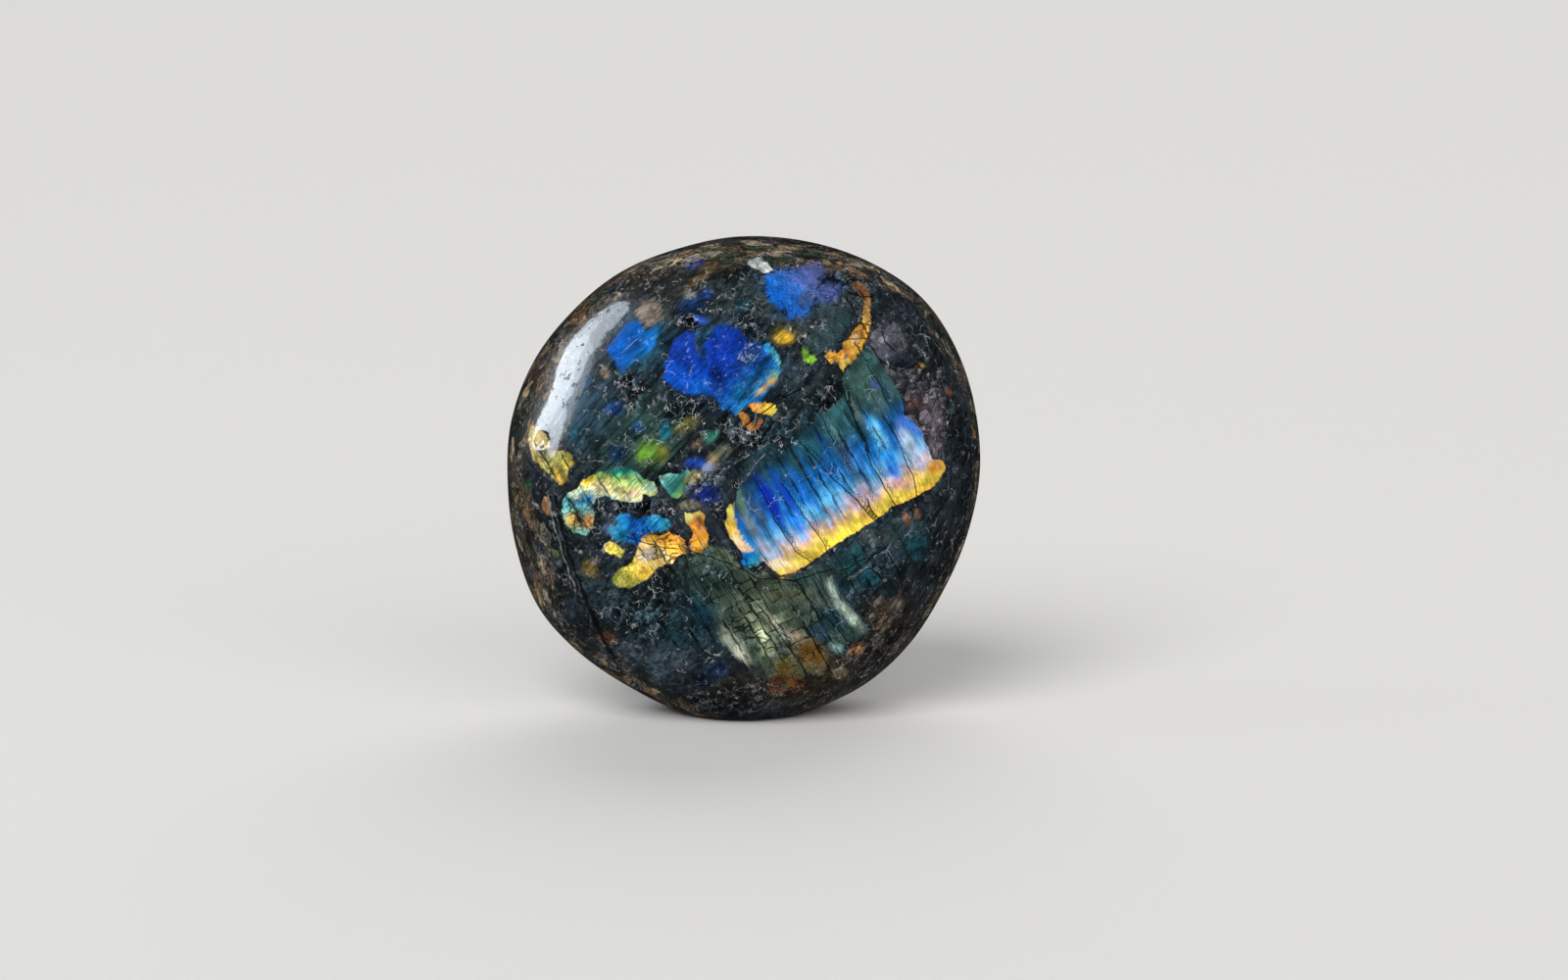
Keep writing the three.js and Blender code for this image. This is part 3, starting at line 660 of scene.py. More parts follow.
# Where pale curly hairs crowd the rock: x, y, half length, half width, turn, how many from 0 to 1
HAIRS = [
    (764, 362, 18, 16, 0, 1.0),
    (762, 442, 42, 17, -8, 0.8),
    (842, 404, 30, 16, 40, 0.5),
    (800, 432, 30, 14, 20, 0.5),
    (648, 517, 44, 9, 0, 0.9),
    (641, 398, 14, 26, 20, 0.9),
    (716, 492, 26, 9, 15, 0.9),
    (700, 420, 30, 10, 10, 0.7),
    (704, 330, 14, 18, 0, 0.8),
    (760, 292, 60, 22, 10, 0.3),
    (660, 620, 60, 34, 20, 0.6),
    (620, 690, 50, 24, -30, 0.6),
    (740, 714, 70, 20, 10, 0.5),
    (890, 650, 40, 60, 40, 0.5),
    (940, 400, 34, 70, 0, 0.4),
    (860, 280, 60, 24, -30, 0.5),
    (640, 300, 60, 16, 40, 0.6),
    (560, 560, 26, 70, 0, 0.5),
    (585, 350, 24, 60, -30, 0.4),
    (886, 570, 56, 34, 33, 0.05),
]

# Dark cracks with a place of their own, and a painted dark reflection along the left ridge: half width in
# millimetres, and the points they run through
CRACKS_AND_DARK_REFLECTION = [
    (0.30, [(866, 400), (871, 424), (877, 440), (886, 466), (896, 486), (903, 498), (914, 516)]),
    (0.30, [(821, 455), (842, 480), (867, 504), (882, 519), (896, 534)]),
    (0.26, [(908, 432), (918, 454), (925, 472), (932, 487), (936, 508)]),
    (0.26, [(798, 492), (805, 504), (821, 527), (836, 548), (844, 564)]),
    (0.26, [(770, 490), (778, 504), (795, 538), (811, 562), (828, 574)]),
    (0.24, [(838, 420), (842, 434), (851, 452), (868, 478)]),
    (0.24, [(884, 372), (898, 392), (908, 416)]),
    (0.34, [(898, 370), (908, 374), (921, 379), (935, 371), (943, 378), (938, 388)]),
    (0.40, [(760, 434), (780, 420), (800, 405), (816, 398), (829, 388)]),
    (0.34, [(740, 589), (769, 613), (784, 629)]),
    (0.34, [(778, 620), (790, 640), (804, 659), (823, 686)]),
    (0.30, [(812, 596), (836, 622), (860, 648), (872, 668)]),
    (0.30, [(700, 560), (742, 574), (776, 590), (812, 592), (850, 580)]),
    # Painted reflection: a wide dark band along the left ridge, beside the painted highlight, where the
    # curved wall reflects the dark room
    (0.9, [(566, 508), (574, 545), (585, 580), (599, 616), (617, 655), (640, 692)]),
    (0.30, [(846, 588), (868, 578), (898, 562)]),
    (0.8, [(874, 430), (880, 445), (886, 460)]),
    (0.4, [(860, 398), (868, 418), (876, 436)]),
    (0.35, [(676, 478), (692, 462), (706, 445)]),
    (0.4, [(884, 510), (892, 524), (899, 532)]),
    (0.3, [(640, 548), (664, 556), (690, 560)]),
    (0.3, [(586, 524), (596, 532), (604, 544)]),
    (0.3, [(856, 350), (868, 346), (884, 346)]),
    (0.3, [(872, 334), (880, 330), (890, 331)]),
    (0.35, [(868, 300), (879, 303), (890, 302)]),
    (0.35, [(888, 352), (896, 366), (904, 372)]),
    (0.3, [(900, 338), (903, 350), (914, 358)]),
]

# Pale veins with a place of their own, and a painted highlight along the left ridge: the same columns
VEINS_AND_RIDGE_HIGHLIGHT = [
    # Painted highlight: a pale line along the left ridge of the front, where the polish would catch the
    # light
    (0.3, [(560, 506), (566, 538), (575, 568), (587, 602)]),
    (0.10, [(729, 487), (752, 471), (775, 458), (798, 446)]),
    (0.09, [(762, 488), (770, 474), (780, 464)]),
    (0.11, [(867, 591), (880, 583), (888, 577), (898, 585), (904, 590)]),
    (0.10, [(884, 540), (892, 556), (886, 568), (888, 577)]),
    (0.10, [(910, 552), (904, 562), (892, 566)]),
    (0.09, [(700, 566), (714, 580), (736, 588), (752, 600)]),
    (0.09, [(716, 552), (722, 572), (716, 592)]),
    (0.09, [(640, 356), (650, 346), (662, 352)]),
    (0.09, [(700, 350), (706, 372), (700, 396)]),
]

# The back is a guess in the same manner: the front's marks turned upside down, wider and less tall, and
# leaning a little. Each row says how much of x and of z, from the stone's middle, makes the pixel.
BACK_ACROSS = (-1.12, 0.16)
BACK_UP = (0.0, -0.86)
LIMB = -0.3  # how far past the last skin that the camera sees the front's marks reach

EDGE_LIMIT = 3  # millimetres from a crystal's edge beyond which the distance no longer matters
WARP_SIZE = 2.6  # millimetres, the size of the bends that noise gives to outlines
WARP_REACH = 0.35  # millimetres, how far it moves them
NOISE_SEED = 1  # without a seed, Blender's noise vector differs from run to run
STREAK_REACH = 0.25  # millimetres that streaks wander along a run of colours, at its start
STREAK_GROWTH = 0.16  # and how much further for each millimetre along it
CALM = 0.55  # how smooth the rock is, from 0 to 1, where nothing else is said
HAIRINESS = 0.3  # how many pale hairs it has there
CRACKED = 0.25  # and how strong its small cracks are
PLAIN_SOFTNESS = 0.3  # millimetres over which an edge fades, away from every crystal
GLOW_FADE = 1.25  # times its half length and half width, where a soft patch ends
WARP_SEED = 3.7
WALL_START = 0.72  # how far the skin faces front or back where the wall's brown rock starts
WALL_SPAN = 0.35  # and over how much of that it grows to its full share


def linear(colour):
    """A screen colour, 0 to 255 in each part, as linear light."""
    c = np.asarray(colour, float) / 255
    return np.where(c <= 0.04045, c / 12.92, ((c + 0.055) / 1.055) ** 2.4)


def warp(points):
    """A smooth wander in two directions at points in millimetres."""
    shift = Vector((WARP_SEED, WARP_SEED * 2, WARP_SEED * 3))
    size = 1 / WARP_SIZE
    noise.seed_set(NOISE_SEED)
    return np.array([noise.noise_vector(Vector(p) * size + shift)[:2] for p in points])


def near_box(places, corners):
    """Which places lie in or close to the box round some corners."""
    reach = EDGE_LIMIT * PHOTO_SCALE
    low, high = np.min(corners, axis=0) - reach, np.max(corners, axis=0) + reach
    return np.all((places > low) & (places < high), axis=1)


def edge_distance(places, outline):
    """Signed distance from places to an outline's edge, positive inside it."""
    corners = np.array(outline, float)
    nearest = np.full(len(places), np.inf)
    inside = np.zeros(len(places), bool)
    for a, b in zip(corners, np.roll(corners, -1, axis=0)):
        side = b - a
        share = np.clip(((places - a) @ side) / (side @ side), 0, 1)
        gap = places - a - share[:, None] * side
        nearest = np.minimum(nearest, (gap**2).sum(axis=1))
        spans = (a[1] > places[:, 1]) != (b[1] > places[:, 1])
        slope = side[0] / side[1] if side[1] else 0
        inside ^= spans & (places[:, 0] < a[0] + (places[:, 1] - a[1]) * slope)
    return np.where(inside, 1, -1) * np.sqrt(nearest)


def line_distance(places, line):
    """Distance from places to an open line, with a sign that tells its two sides apart."""
    corners = np.array(line, float)
    nearest = np.full(len(places), np.inf)
    for a, b in zip(corners[:-1], corners[1:]):
        side = b - a
        share = np.clip(((places - a) @ side) / (side @ side), 0, 1)
        gap = places - a - share[:, None] * side
        reach = np.sqrt((gap**2).sum(axis=1))
        beside = np.sign(side[0] * gap[:, 1] - side[1] * gap[:, 0])
        nearest = np.where(reach < np.abs(nearest), reach * np.where(beside == 0, 1, beside), nearest)
    return nearest


def colour_run(places, start, end, stops, way):
    """Colours along a run from start to end, as far back or on as its streaks go, in linear light."""
    start, end = np.array(start, float), np.array(end, float)
    run = end - start
    share = ((places - start) @ run) / (run @ run)
    length = np.linalg.norm(run) / PHOTO_SCALE
    share = share + way * (STREAK_REACH / length + STREAK_GROWTH * np.clip(share, 0, 1))
    marks = [mark for mark, _ in stops]
    colours = np.array([colour for _, colour in stops], float)
    return linear(np.stack([np.interp(share, marks, colours[:, k]) for k in range(3)], axis=1))


def glow_share(places, x, y, long, wide, turn):
    """How strongly a soft oval covers places, from 0 to 1. The turn is up to the right."""
    t = math.radians(turn)
    dx, dy = places[:, 0] - x, y - places[:, 1]
    u = (dx * math.cos(t) + dy * math.sin(t)) / long
    v = (dy * math.cos(t) - dx * math.sin(t)) / wide
    inside = np.clip(GLOW_FADE - np.sqrt(u**2 + v**2), 0, 1)
    return inside**2 * (3 - 2 * inside)


def paint(colours, share, colour):
    """Lays a colour over others, in linear light."""
    colours += share[:, None] * (linear(colour) - colours)


class Marks:
    """Every mark's share of the skin's points, ready for the material."""

    def __init__(self, count):
        self.edge = np.full(count, -EDGE_LIMIT, float)
        self.soft = np.full(count, PLAIN_SOFTNESS)
        self.calm = np.full(count, CALM)
        self.hair = np.full(count, HAIRINESS)
        self.crackle = np.full(count, CRACKED)
        self.near = np.tile(linear(MATRIX), (count, 1))
        self.far = self.near.copy()
        self.grain = np.full(count, float(RISING))
        self.ground = self.near.copy()
        self.crack_and_dark_reflection = np.full(count, float(EDGE_LIMIT))
        self.vein_and_highlight = self.crack_and_dark_reflection.copy()

    def add_all(self, chosen, places):
        """Lays every mark on the chosen points, which show at the given pixels of the photograph."""
        self.add_crystals(chosen, places, CRYSTALS)
        self.add_glows([self.near, self.far], chosen, places, INNER_GLOWS)
        self.add_glows([self.ground], chosen, places, GROUND_GLOWS, calming=1.0)
        self.add_hairs(chosen, places, HAIRS)
        self.add_crackle(chosen, places, CRACKLE)
        self.add_lines(self.crack_and_dark_reflection, chosen, places, CRACKS_AND_DARK_REFLECTION)
        self.add_lines(self.vein_and_highlight, chosen, places, VEINS_AND_RIDGE_HIGHLIGHT)

    def add_crystals(self, chosen, places, crystals):
        for _, softness, grain, outline, start, end, stops in crystals:
            close = near_box(places, outline)
            points, local = chosen[close], places[close]
            edge = np.clip(edge_distance(local, outline) / PHOTO_SCALE, -EDGE_LIMIT, EDGE_LIMIT)
            nearer = edge > self.edge[points]
            points, local = points[nearer], local[nearer]
            self.edge[points] = edge[nearer]
            self.soft[points] = softness
            self.near[points] = colour_run(local, start, end, stops, -1)
            self.far[points] = colour_run(local, start, end, stops, 1)
            self.grain[points] = grain

    def add_glows(self, layers, chosen, places, glows, calming=0):
        for x, y, long, wide, turn, strength, colour in glows:
            share = glow_share(places, x, y, long, wide, turn) * strength
            close = share > 0
            points = chosen[close]
            self.calm[points] = np.maximum(self.calm[points], share[close] * calming)
            for layer in layers:
                part = layer[chosen[close]]
                paint(part, share[close], colour)
                layer[chosen[close]] = part

    def add_hairs(self, chosen, places, hairs):
        for x, y, long, wide, turn, density in hairs:
            share = glow_share(places, x, y, long, wide, turn)
            self.hair[chosen] += share * (density - self.hair[chosen])
            self.calm[chosen] *= 1 - share * density

    def add_crackle(self, chosen, places, crackle):
        for x, y, long, wide, turn, strength in crackle:
            share = glow_share(places, x, y, long, wide, turn)
            self.crackle[chosen] += share * np.maximum(0, strength - self.crackle[chosen])

    def add_lines(self, layer, chosen, places, lines):
        for width, line in lines:
            close = near_box(places, line)
            points = chosen[close]
            gap = line_distance(places[close], line) / PHOTO_SCALE / width
            nearer = np.abs(gap) < np.abs(layer[points])
            layer[points[nearer]] = gap[nearer]


def marks_on(points, normals):
    marks = Marks(len(points))
    wander = warp(points) * WARP_REACH
    facing = normals @ TOWARDS_CAMERA
    front = np.flatnonzero(facing > LIMB)
    marks.add_all(front, photo_pixels(points[front]) + wander[front] * PHOTO_SCALE)
    back = np.flatnonzero(facing <= LIMB)
    flat = (points - MIDDLE)[back][:, [0, 2]] + wander[back]
    across = STONE_PIXEL[0] + flat @ BACK_ACROSS * PHOTO_SCALE
    down = STONE_PIXEL[1] - flat @ BACK_UP * PHOTO_SCALE
    marks.add_all(back, np.stack([across, down], axis=1))
    return marks


def rim_share(points, normals):
    """How much of the wall's brown rock each point has: none on the two faces, all on the wall."""
    facing = np.abs(normals[:, 1])
    share = np.clip((WALL_START - facing) / WALL_SPAN, 0, 1)
    return share**2 * (3 - 2 * share)


# Material


class Graph:
    """Short ways to add a material's nodes."""

    def __init__(self, tree):
        self.tree = tree

    def feed(self, socket, value):
        if isinstance(value, bpy.types.NodeSocket):
            self.tree.links.new(value, socket)
        else:
            socket.default_value = value

    def node(self, kind, feeds=None, **settings):
        made = self.tree.nodes.new("ShaderNode" + kind)
        for name, value in settings.items():
            setattr(made, name, value)
        for name, value in (feeds or {}).items():
            self.feed(made.inputs[name], value)
        return made

    def maths(self, operation, *values, clamp=False):
        made = self.node("Math", operation=operation, use_clamp=clamp)
        for socket, value in zip(made.inputs, values):
            self.feed(socket, value)
        return made.outputs[0]

    def step(self, value, low, high, to_low=0.0, to_high=1.0):
        feeds = {"Value": value, "From Min": low, "From Max": high, "To Min": to_low, "To Max": to_high}
        return self.node("MapRange", feeds, interpolation_type="SMOOTHSTEP").outputs[0]

    def mix(self, share, first, second):
        """A mixture of two colours."""
        made = self.node("Mix", data_type="RGBA")
        for number, value in ((0, share), (6, first), (7, second)):
            self.feed(made.inputs[number], value)
        return made.outputs[2]

    def blend(self, share, first, second):
        """A mixture of two values."""
        made = self.node("Mix", data_type="FLOAT")
        for number, value in ((0, share), (2, first), (3, second)):
            self.feed(made.inputs[number], value)
        return made.outputs[0]

    def scaled(self, colour, value):
        """A colour times a value."""
        made = self.node("VectorMath", operation="SCALE")
        self.feed(made.inputs[0], colour)
        self.feed(made.inputs["Scale"], value)
        return made.outputs[0]

    def sum(self, first, second):
        return self.node("VectorMath", {0: first, 1: second}, operation="ADD").outputs[0]

    def part(self, value, number, kind="Color"):
        """One of a colour's or a vector's three values."""
        name = "Vector" if kind == "XYZ" else "Color"
        return self.node("Separate" + kind, {name: value}).outputs[number]

    def along(self, place, turn, long, wide):
        """Places measured in lengths and widths of a grain that runs at a turn across the front."""
        return self.node("Mapping", {
            "Vector": place,
            "Rotation": (0, -math.radians(turn), 0),
            "Scale": (long, wide, wide),
        }, vector_type="TEXTURE").outputs[0]

    def clouds(self, place, scale, detail=2.0, roughness=0.5, distortion=0.0):
        feeds = {"Vector": place, "Scale": scale, "Detail": detail, "Roughness": roughness,
                 "Distortion": distortion}
        return self.node("TexNoise", feeds).outputs[0]

    def grains(self, place, scale, feature="F1"):
        return self.node("TexVoronoi", {"Vector": place, "Scale": scale}, feature=feature)

    def attribute(self, name):
        return self.node("Attribute", attribute_name=name, attribute_type="GEOMETRY")

    def line(self, value, middle, half_width):
        """1 where a value crosses the middle and 0 further than the half width from it."""
        gap = self.maths("ABSOLUTE", self.maths("SUBTRACT", value, middle))
        return self.step(self.maths("DIVIDE", gap, half_width), 0.3, 1.0, 1.0, 0.0)


def colour_value(colour):
    return (*linear(colour), 1.0)


WALL_COLOURS = [(0, (22, 20, 18)), (0.15, (46, 58, 46)), (0.25, (44, 38, 31)), (0.45, (84, 74, 58)),
                (0.58, (56, 60, 66)), (0.75, (112, 86, 56)), (0.88, (94, 96, 88)), (1, (156, 138, 110))]
BLOCK_LENGTH = 3.2  # millimetres between steep cracks, on average
BLOCK_WIDTH = 2.6  # and between the short cracks across
BLOCK_TURN = 24  # the run of the short cracks, up to the right
PALE_HAIR = (178, 177, 176)
DIM_HAIR = (72, 76, 84)
CRYSTAL_HAIR = (140, 166, 184)  # a hair's colour over a crystal
CELL_SCALE = 0.55  # the rock's broken facets for each millimetre
PAINTED_LIGHT_WAY = (-0.6, 0.0, 0.8)  # painted light: the side of each of the rock's facets that is painted paler, as if lit from it
SPLINTER_SCALE = 0.42  # splinters of the wall for each millimetre
WALL_TURN_RADIUS = 26.0  # millimetres, at which the splinters are measured round the stone
HAIR_SIZES = ((0, 0.3, 0.02), (31, 0.5, 0.03), (57, 0.85, 0.045))  # shift, strands per millimetre, thickness
GRAIN_BEND = 2.4  # millimetres that noise bends the rock's grain
CRACK_BEND = 1.4  # and the block cracks
CRACK_AND_REFLECTION_SHARE = 0.9  # how much of the cracks and of the painted dark reflection along the left ridge is black
VEIN_AND_HIGHLIGHT_SHARE = 0.6  # how strong the pale veins and the painted highlight along the left ridge are
POLISH_ROUGHNESS = 0.06
UNDER_GLOSS = 0.25  # specular level of the stone under its polish
RAGGED_DEPTH = 0.25  # millimetres, of the ragged grain under the polish
WAVE_DEPTH = 0.2  # millimetres, of the slow waves in the polish
POLISH_PIT_DEPTH = 0.5  # millimetres, of the small pits in it


def streak_pair(g, place, long, wide, detail, grain):
    """Streaks along the steep run and along the rising one, whichever the crystal has."""
    steep = g.clouds(g.along(place, STEEP, long, wide), 1.0, detail)
    rising = g.clouds(g.along(place, RISING, long, wide), 1.0, detail)
    return g.blend(grain, steep, rising)


def bands(g, place, turn, spacing, shift):
    """Uneven bands along a turn: how many millimetres it is to an edge, and a colour for each band."""
    across = g.maths("ADD", g.part(g.along(place, turn, 1, 1), 2, "XYZ"), shift)
    feeds = {"W": across, "Scale": 1 / spacing, "Randomness": 0.8}
    edge = g.node("TexVoronoi", feeds, voronoi_dimensions="1D", feature="DISTANCE_TO_EDGE")
    band = g.node("TexVoronoi", feeds, voronoi_dimensions="1D")
    return g.maths("MULTIPLY", edge.outputs["Distance"], spacing), band.outputs["Color"]


def blocks(g, place, crackle):
    """Steep cracks, short ones across that stop at them and a finer net, with a tone for each block."""
    long_gap, long_band = bands(g, place, STEEP, BLOCK_LENGTH, 0.0)
    shift = g.maths("MULTIPLY", g.part(long_band, 0), 3 * BLOCK_WIDTH)
    cross_gap, cross_band = bands(g, place, BLOCK_TURN, BLOCK_WIDTH, shift)
    width = g.step(g.clouds(place, 0.3, 2.0), 0.36, 0.64, 0.06, 0.42)
    long_cracks = g.step(g.maths("DIVIDE", long_gap, width), 0.4, 1.0, 1.0, 0.0)
    cross_cracks = g.step(g.maths("DIVIDE", cross_gap, width), 0.2, 0.7, 1.0, 0.0)
    long_cracks = g.maths("MULTIPLY", long_cracks, g.step(crackle, 0.1, 0.7))
    cross_cracks = g.maths("MULTIPLY", cross_cracks, g.step(crackle, 0.3, 1.0))
    net = g.grains(place, 0.45, "DISTANCE_TO_EDGE").outputs["Distance"]
    net = g.step(g.maths("DIVIDE", net, width), 0.05, 0.25, 1.0, 0.0)
    net = g.maths("MULTIPLY", net, g.step(crackle, 0.5, 0.85))
    net = g.maths("MULTIPLY", net, g.step(crackle, 0.9, 1.0, 1.0, 0.15))
    cracks = g.maths("MAXIMUM", g.maths("MAXIMUM", long_cracks, cross_cracks), net)
    long_tone = g.step(g.part(long_band, 1), 0.0, 1.0, 0.65, 1.4)
    cross_tone = g.step(g.part(cross_band, 1), 0.0, 1.0, 0.5, 1.55)
    tone = g.maths("SUBTRACT", g.maths("MULTIPLY", long_tone, cross_tone), 1.0)
    tone = g.maths("MULTIPLY_ADD", tone, g.step(crackle, 0.6, 1.0), 1.0)
    return cracks, tone


def flash_colour(g, place, bent, grain, soft, streaks):
    """The crystals' colours, mixed along their streaks and patched."""
    fine = streak_pair(g, place, 4.0, 0.2, 2.0, grain)
    patch = g.part(g.grains(g.along(bent, STEEP, 1.6, 1.0), 0.8).outputs["Color"], 0)
    patch_shift = g.maths("MULTIPLY_ADD", patch, 0.5, -0.25)
    share = g.maths("ADD", g.step(streaks, 0.34, 0.66), patch_shift, clamp=True)
    flash = g.mix(share, g.attribute("near").outputs["Color"], g.attribute("far").outputs["Color"])
    low = g.blend(grain, g.step(soft, 0.15, 0.5, 0.74, 0.5), 0.5)
    high = g.blend(grain, g.step(soft, 0.15, 0.5, 1.14, 1.4), 1.35)
    flash = g.scaled(flash, g.step(fine, 0.32, 0.68, low, high))
    flash = g.scaled(flash, g.step(patch, 0.0, 1.0, 0.82, 1.14))
    low = g.blend(grain, 0.7, g.step(soft, 0.2, 0.4, 0.38, 0.8))
    return g.scaled(flash, g.step(g.clouds(place, 0.4, 3.0, 0.5), 0.34, 0.6, low, 1.15))


def rock_colour(g, place, bent, streaks):
    """The dark rock: broken facets of many greys, each with painted shade that makes one side paler and the
    other darker as if lit, and calmer, with faint streaks, where it is tinted.
    """
    cell_place = g.along(bent, RISING, 2.2, 0.9)
    cells = g.grains(cell_place, CELL_SCALE)
    off_centre = g.node("VectorMath", {0: cell_place, 1: cells.outputs["Position"]}, operation="SUBTRACT")
    # Painted shade: each facet is paler on the side that faces the painted light's way and darker on the
    # other, then darker in the gaps between facets
    slope = g.node("VectorMath", {0: off_centre.outputs[0], 1: PAINTED_LIGHT_WAY}, operation="DOT_PRODUCT")
    painted_shade_and_facet_gaps = g.step(slope.outputs["Value"], -0.8, 0.8, 0.25, 1.9)
    tone = g.step(g.part(cells.outputs["Color"], 0), 0.0, 1.0, 0.2, 1.9)
    gap = g.grains(cell_place, CELL_SCALE, "DISTANCE_TO_EDGE").outputs["Distance"]
    painted_shade_and_facet_gaps = g.maths("MULTIPLY", painted_shade_and_facet_gaps, g.step(gap, 0.0, 0.12, 0.15, 1.0))
    wrinkles = g.step(g.clouds(place, 0.8, 4.0, 0.6, 1.6), 0.36, 0.64, 0.3, 1.8)
    broken = g.maths("MULTIPLY", g.maths("MULTIPLY", tone, painted_shade_and_facet_gaps), wrinkles)
    calm = g.maths("MULTIPLY", g.step(streaks, 0.34, 0.66, 0.45, 1.6), g.step(gap, 0.0, 0.06, 0.7, 1.0))
    busy = g.step(g.attribute("calm").outputs["Fac"], 0.1, 0.8, 1.0, 0.0)
    rock = g.scaled(g.attribute("ground").outputs["Color"], g.blend(busy, calm, broken))
    return g.scaled(rock, g.step(g.clouds(place, 0.16, 2.0), 0.35, 0.65, 0.6, 1.4))


def wall_colour(g, place, wobble):
    """Brown and grey splinters that run round the wall."""
    out = g.sum(place, (0, 0, -CENTRE_HEIGHT))
    out = g.node("VectorMath", {0: out, 1: (1, 0, 1)}, operation="MULTIPLY").outputs[0]
    round_way = g.node("VectorMath", {0: out}, operation="NORMALIZE").outputs[0]
    depth = g.node("CombineXYZ", {1: g.part(place, 1, "XYZ")}).outputs[0]
    round_place = g.sum(g.sum(g.scaled(round_way, WALL_TURN_RADIUS), depth), g.scaled(wobble, 2.5))
    splinters = g.grains(round_place, SPLINTER_SCALE)
    small_tone = g.step(g.part(g.grains(round_place, 1.3).outputs["Color"], 1), 0.0, 1.0, 0.45, 1.7)
    hue = g.node("ValToRGB", {"Fac": g.part(splinters.outputs["Color"], 0)})
    ramp = hue.color_ramp
    ramp.elements[0].color = colour_value(WALL_COLOURS[0][1])
    ramp.elements[1].color = colour_value(WALL_COLOURS[-1][1])
    for mark, colour in WALL_COLOURS[1:-1]:
        ramp.elements.new(mark).color = colour_value(colour)
    gap = g.grains(round_place, SPLINTER_SCALE, "DISTANCE_TO_EDGE").outputs["Distance"]
    tone = g.maths("MULTIPLY", small_tone, g.step(gap, 0.0, 0.07, 0.3, 1.0))
    streaks = g.step(g.clouds(round_place, 1.6, 4.0), 0.3, 0.7, 0.3, 1.9)
    return g.scaled(hue.outputs[0], g.maths("MULTIPLY", tone, streaks))


def hair_marks(g, place, bent, inside):
    """Curly pale hairs and specks, crowded in some places and few in the crystals."""
    hair = g.attribute("hair").outputs["Fac"]
    spared = g.blend(g.step(hair, 0.75, 0.95), g.step(inside, 0.0, 1.0, 1.0, 0.3), 1.0)
    hair = g.maths("MULTIPLY", hair, spared)
    least = g.maths("MULTIPLY_ADD", hair, -0.22, 0.69)
    marks = None
    for shift, scale, half_width in HAIR_SIZES:
        moved = g.sum(bent, (shift, shift / 2, shift / 3))
        gap = g.grains(moved, scale, "DISTANCE_TO_EDGE").outputs["Distance"]
        strand = g.step(gap, 0.3 * half_width, half_width, 1.0, 0.0)
        shown = g.step(g.maths("SUBTRACT", g.clouds(moved, 0.6 * scale, 1.0), least), 0.0, 0.06)
        strand = g.maths("MULTIPLY", strand, shown)
        marks = g.maths("MAXIMUM", marks, strand) if marks else strand
    curl = g.line(g.clouds(place, 0.34, 1.5, 0.45, 1.6), 0.5, 0.014)
    shown = g.step(g.maths("SUBTRACT", g.clouds(place, 0.4, 1.0), least), 0.0, 0.05)
    marks = g.maths("MULTIPLY", g.maths("MAXIMUM", marks, g.maths("MULTIPLY", curl, shown)), 0.92)
    specks = g.grains(place, 1.3)
    rare = g.step(inside, 0.0, 1.0, 0.86, 0.94)
    chosen = g.maths("GREATER_THAN", g.part(specks.outputs["Color"], 2), rare)
    dots = g.maths("MULTIPLY", g.step(specks.outputs["Distance"], 0.05, 0.15, 0.85, 0.0), chosen)
    return g.maths("MAXIMUM", marks, dots)


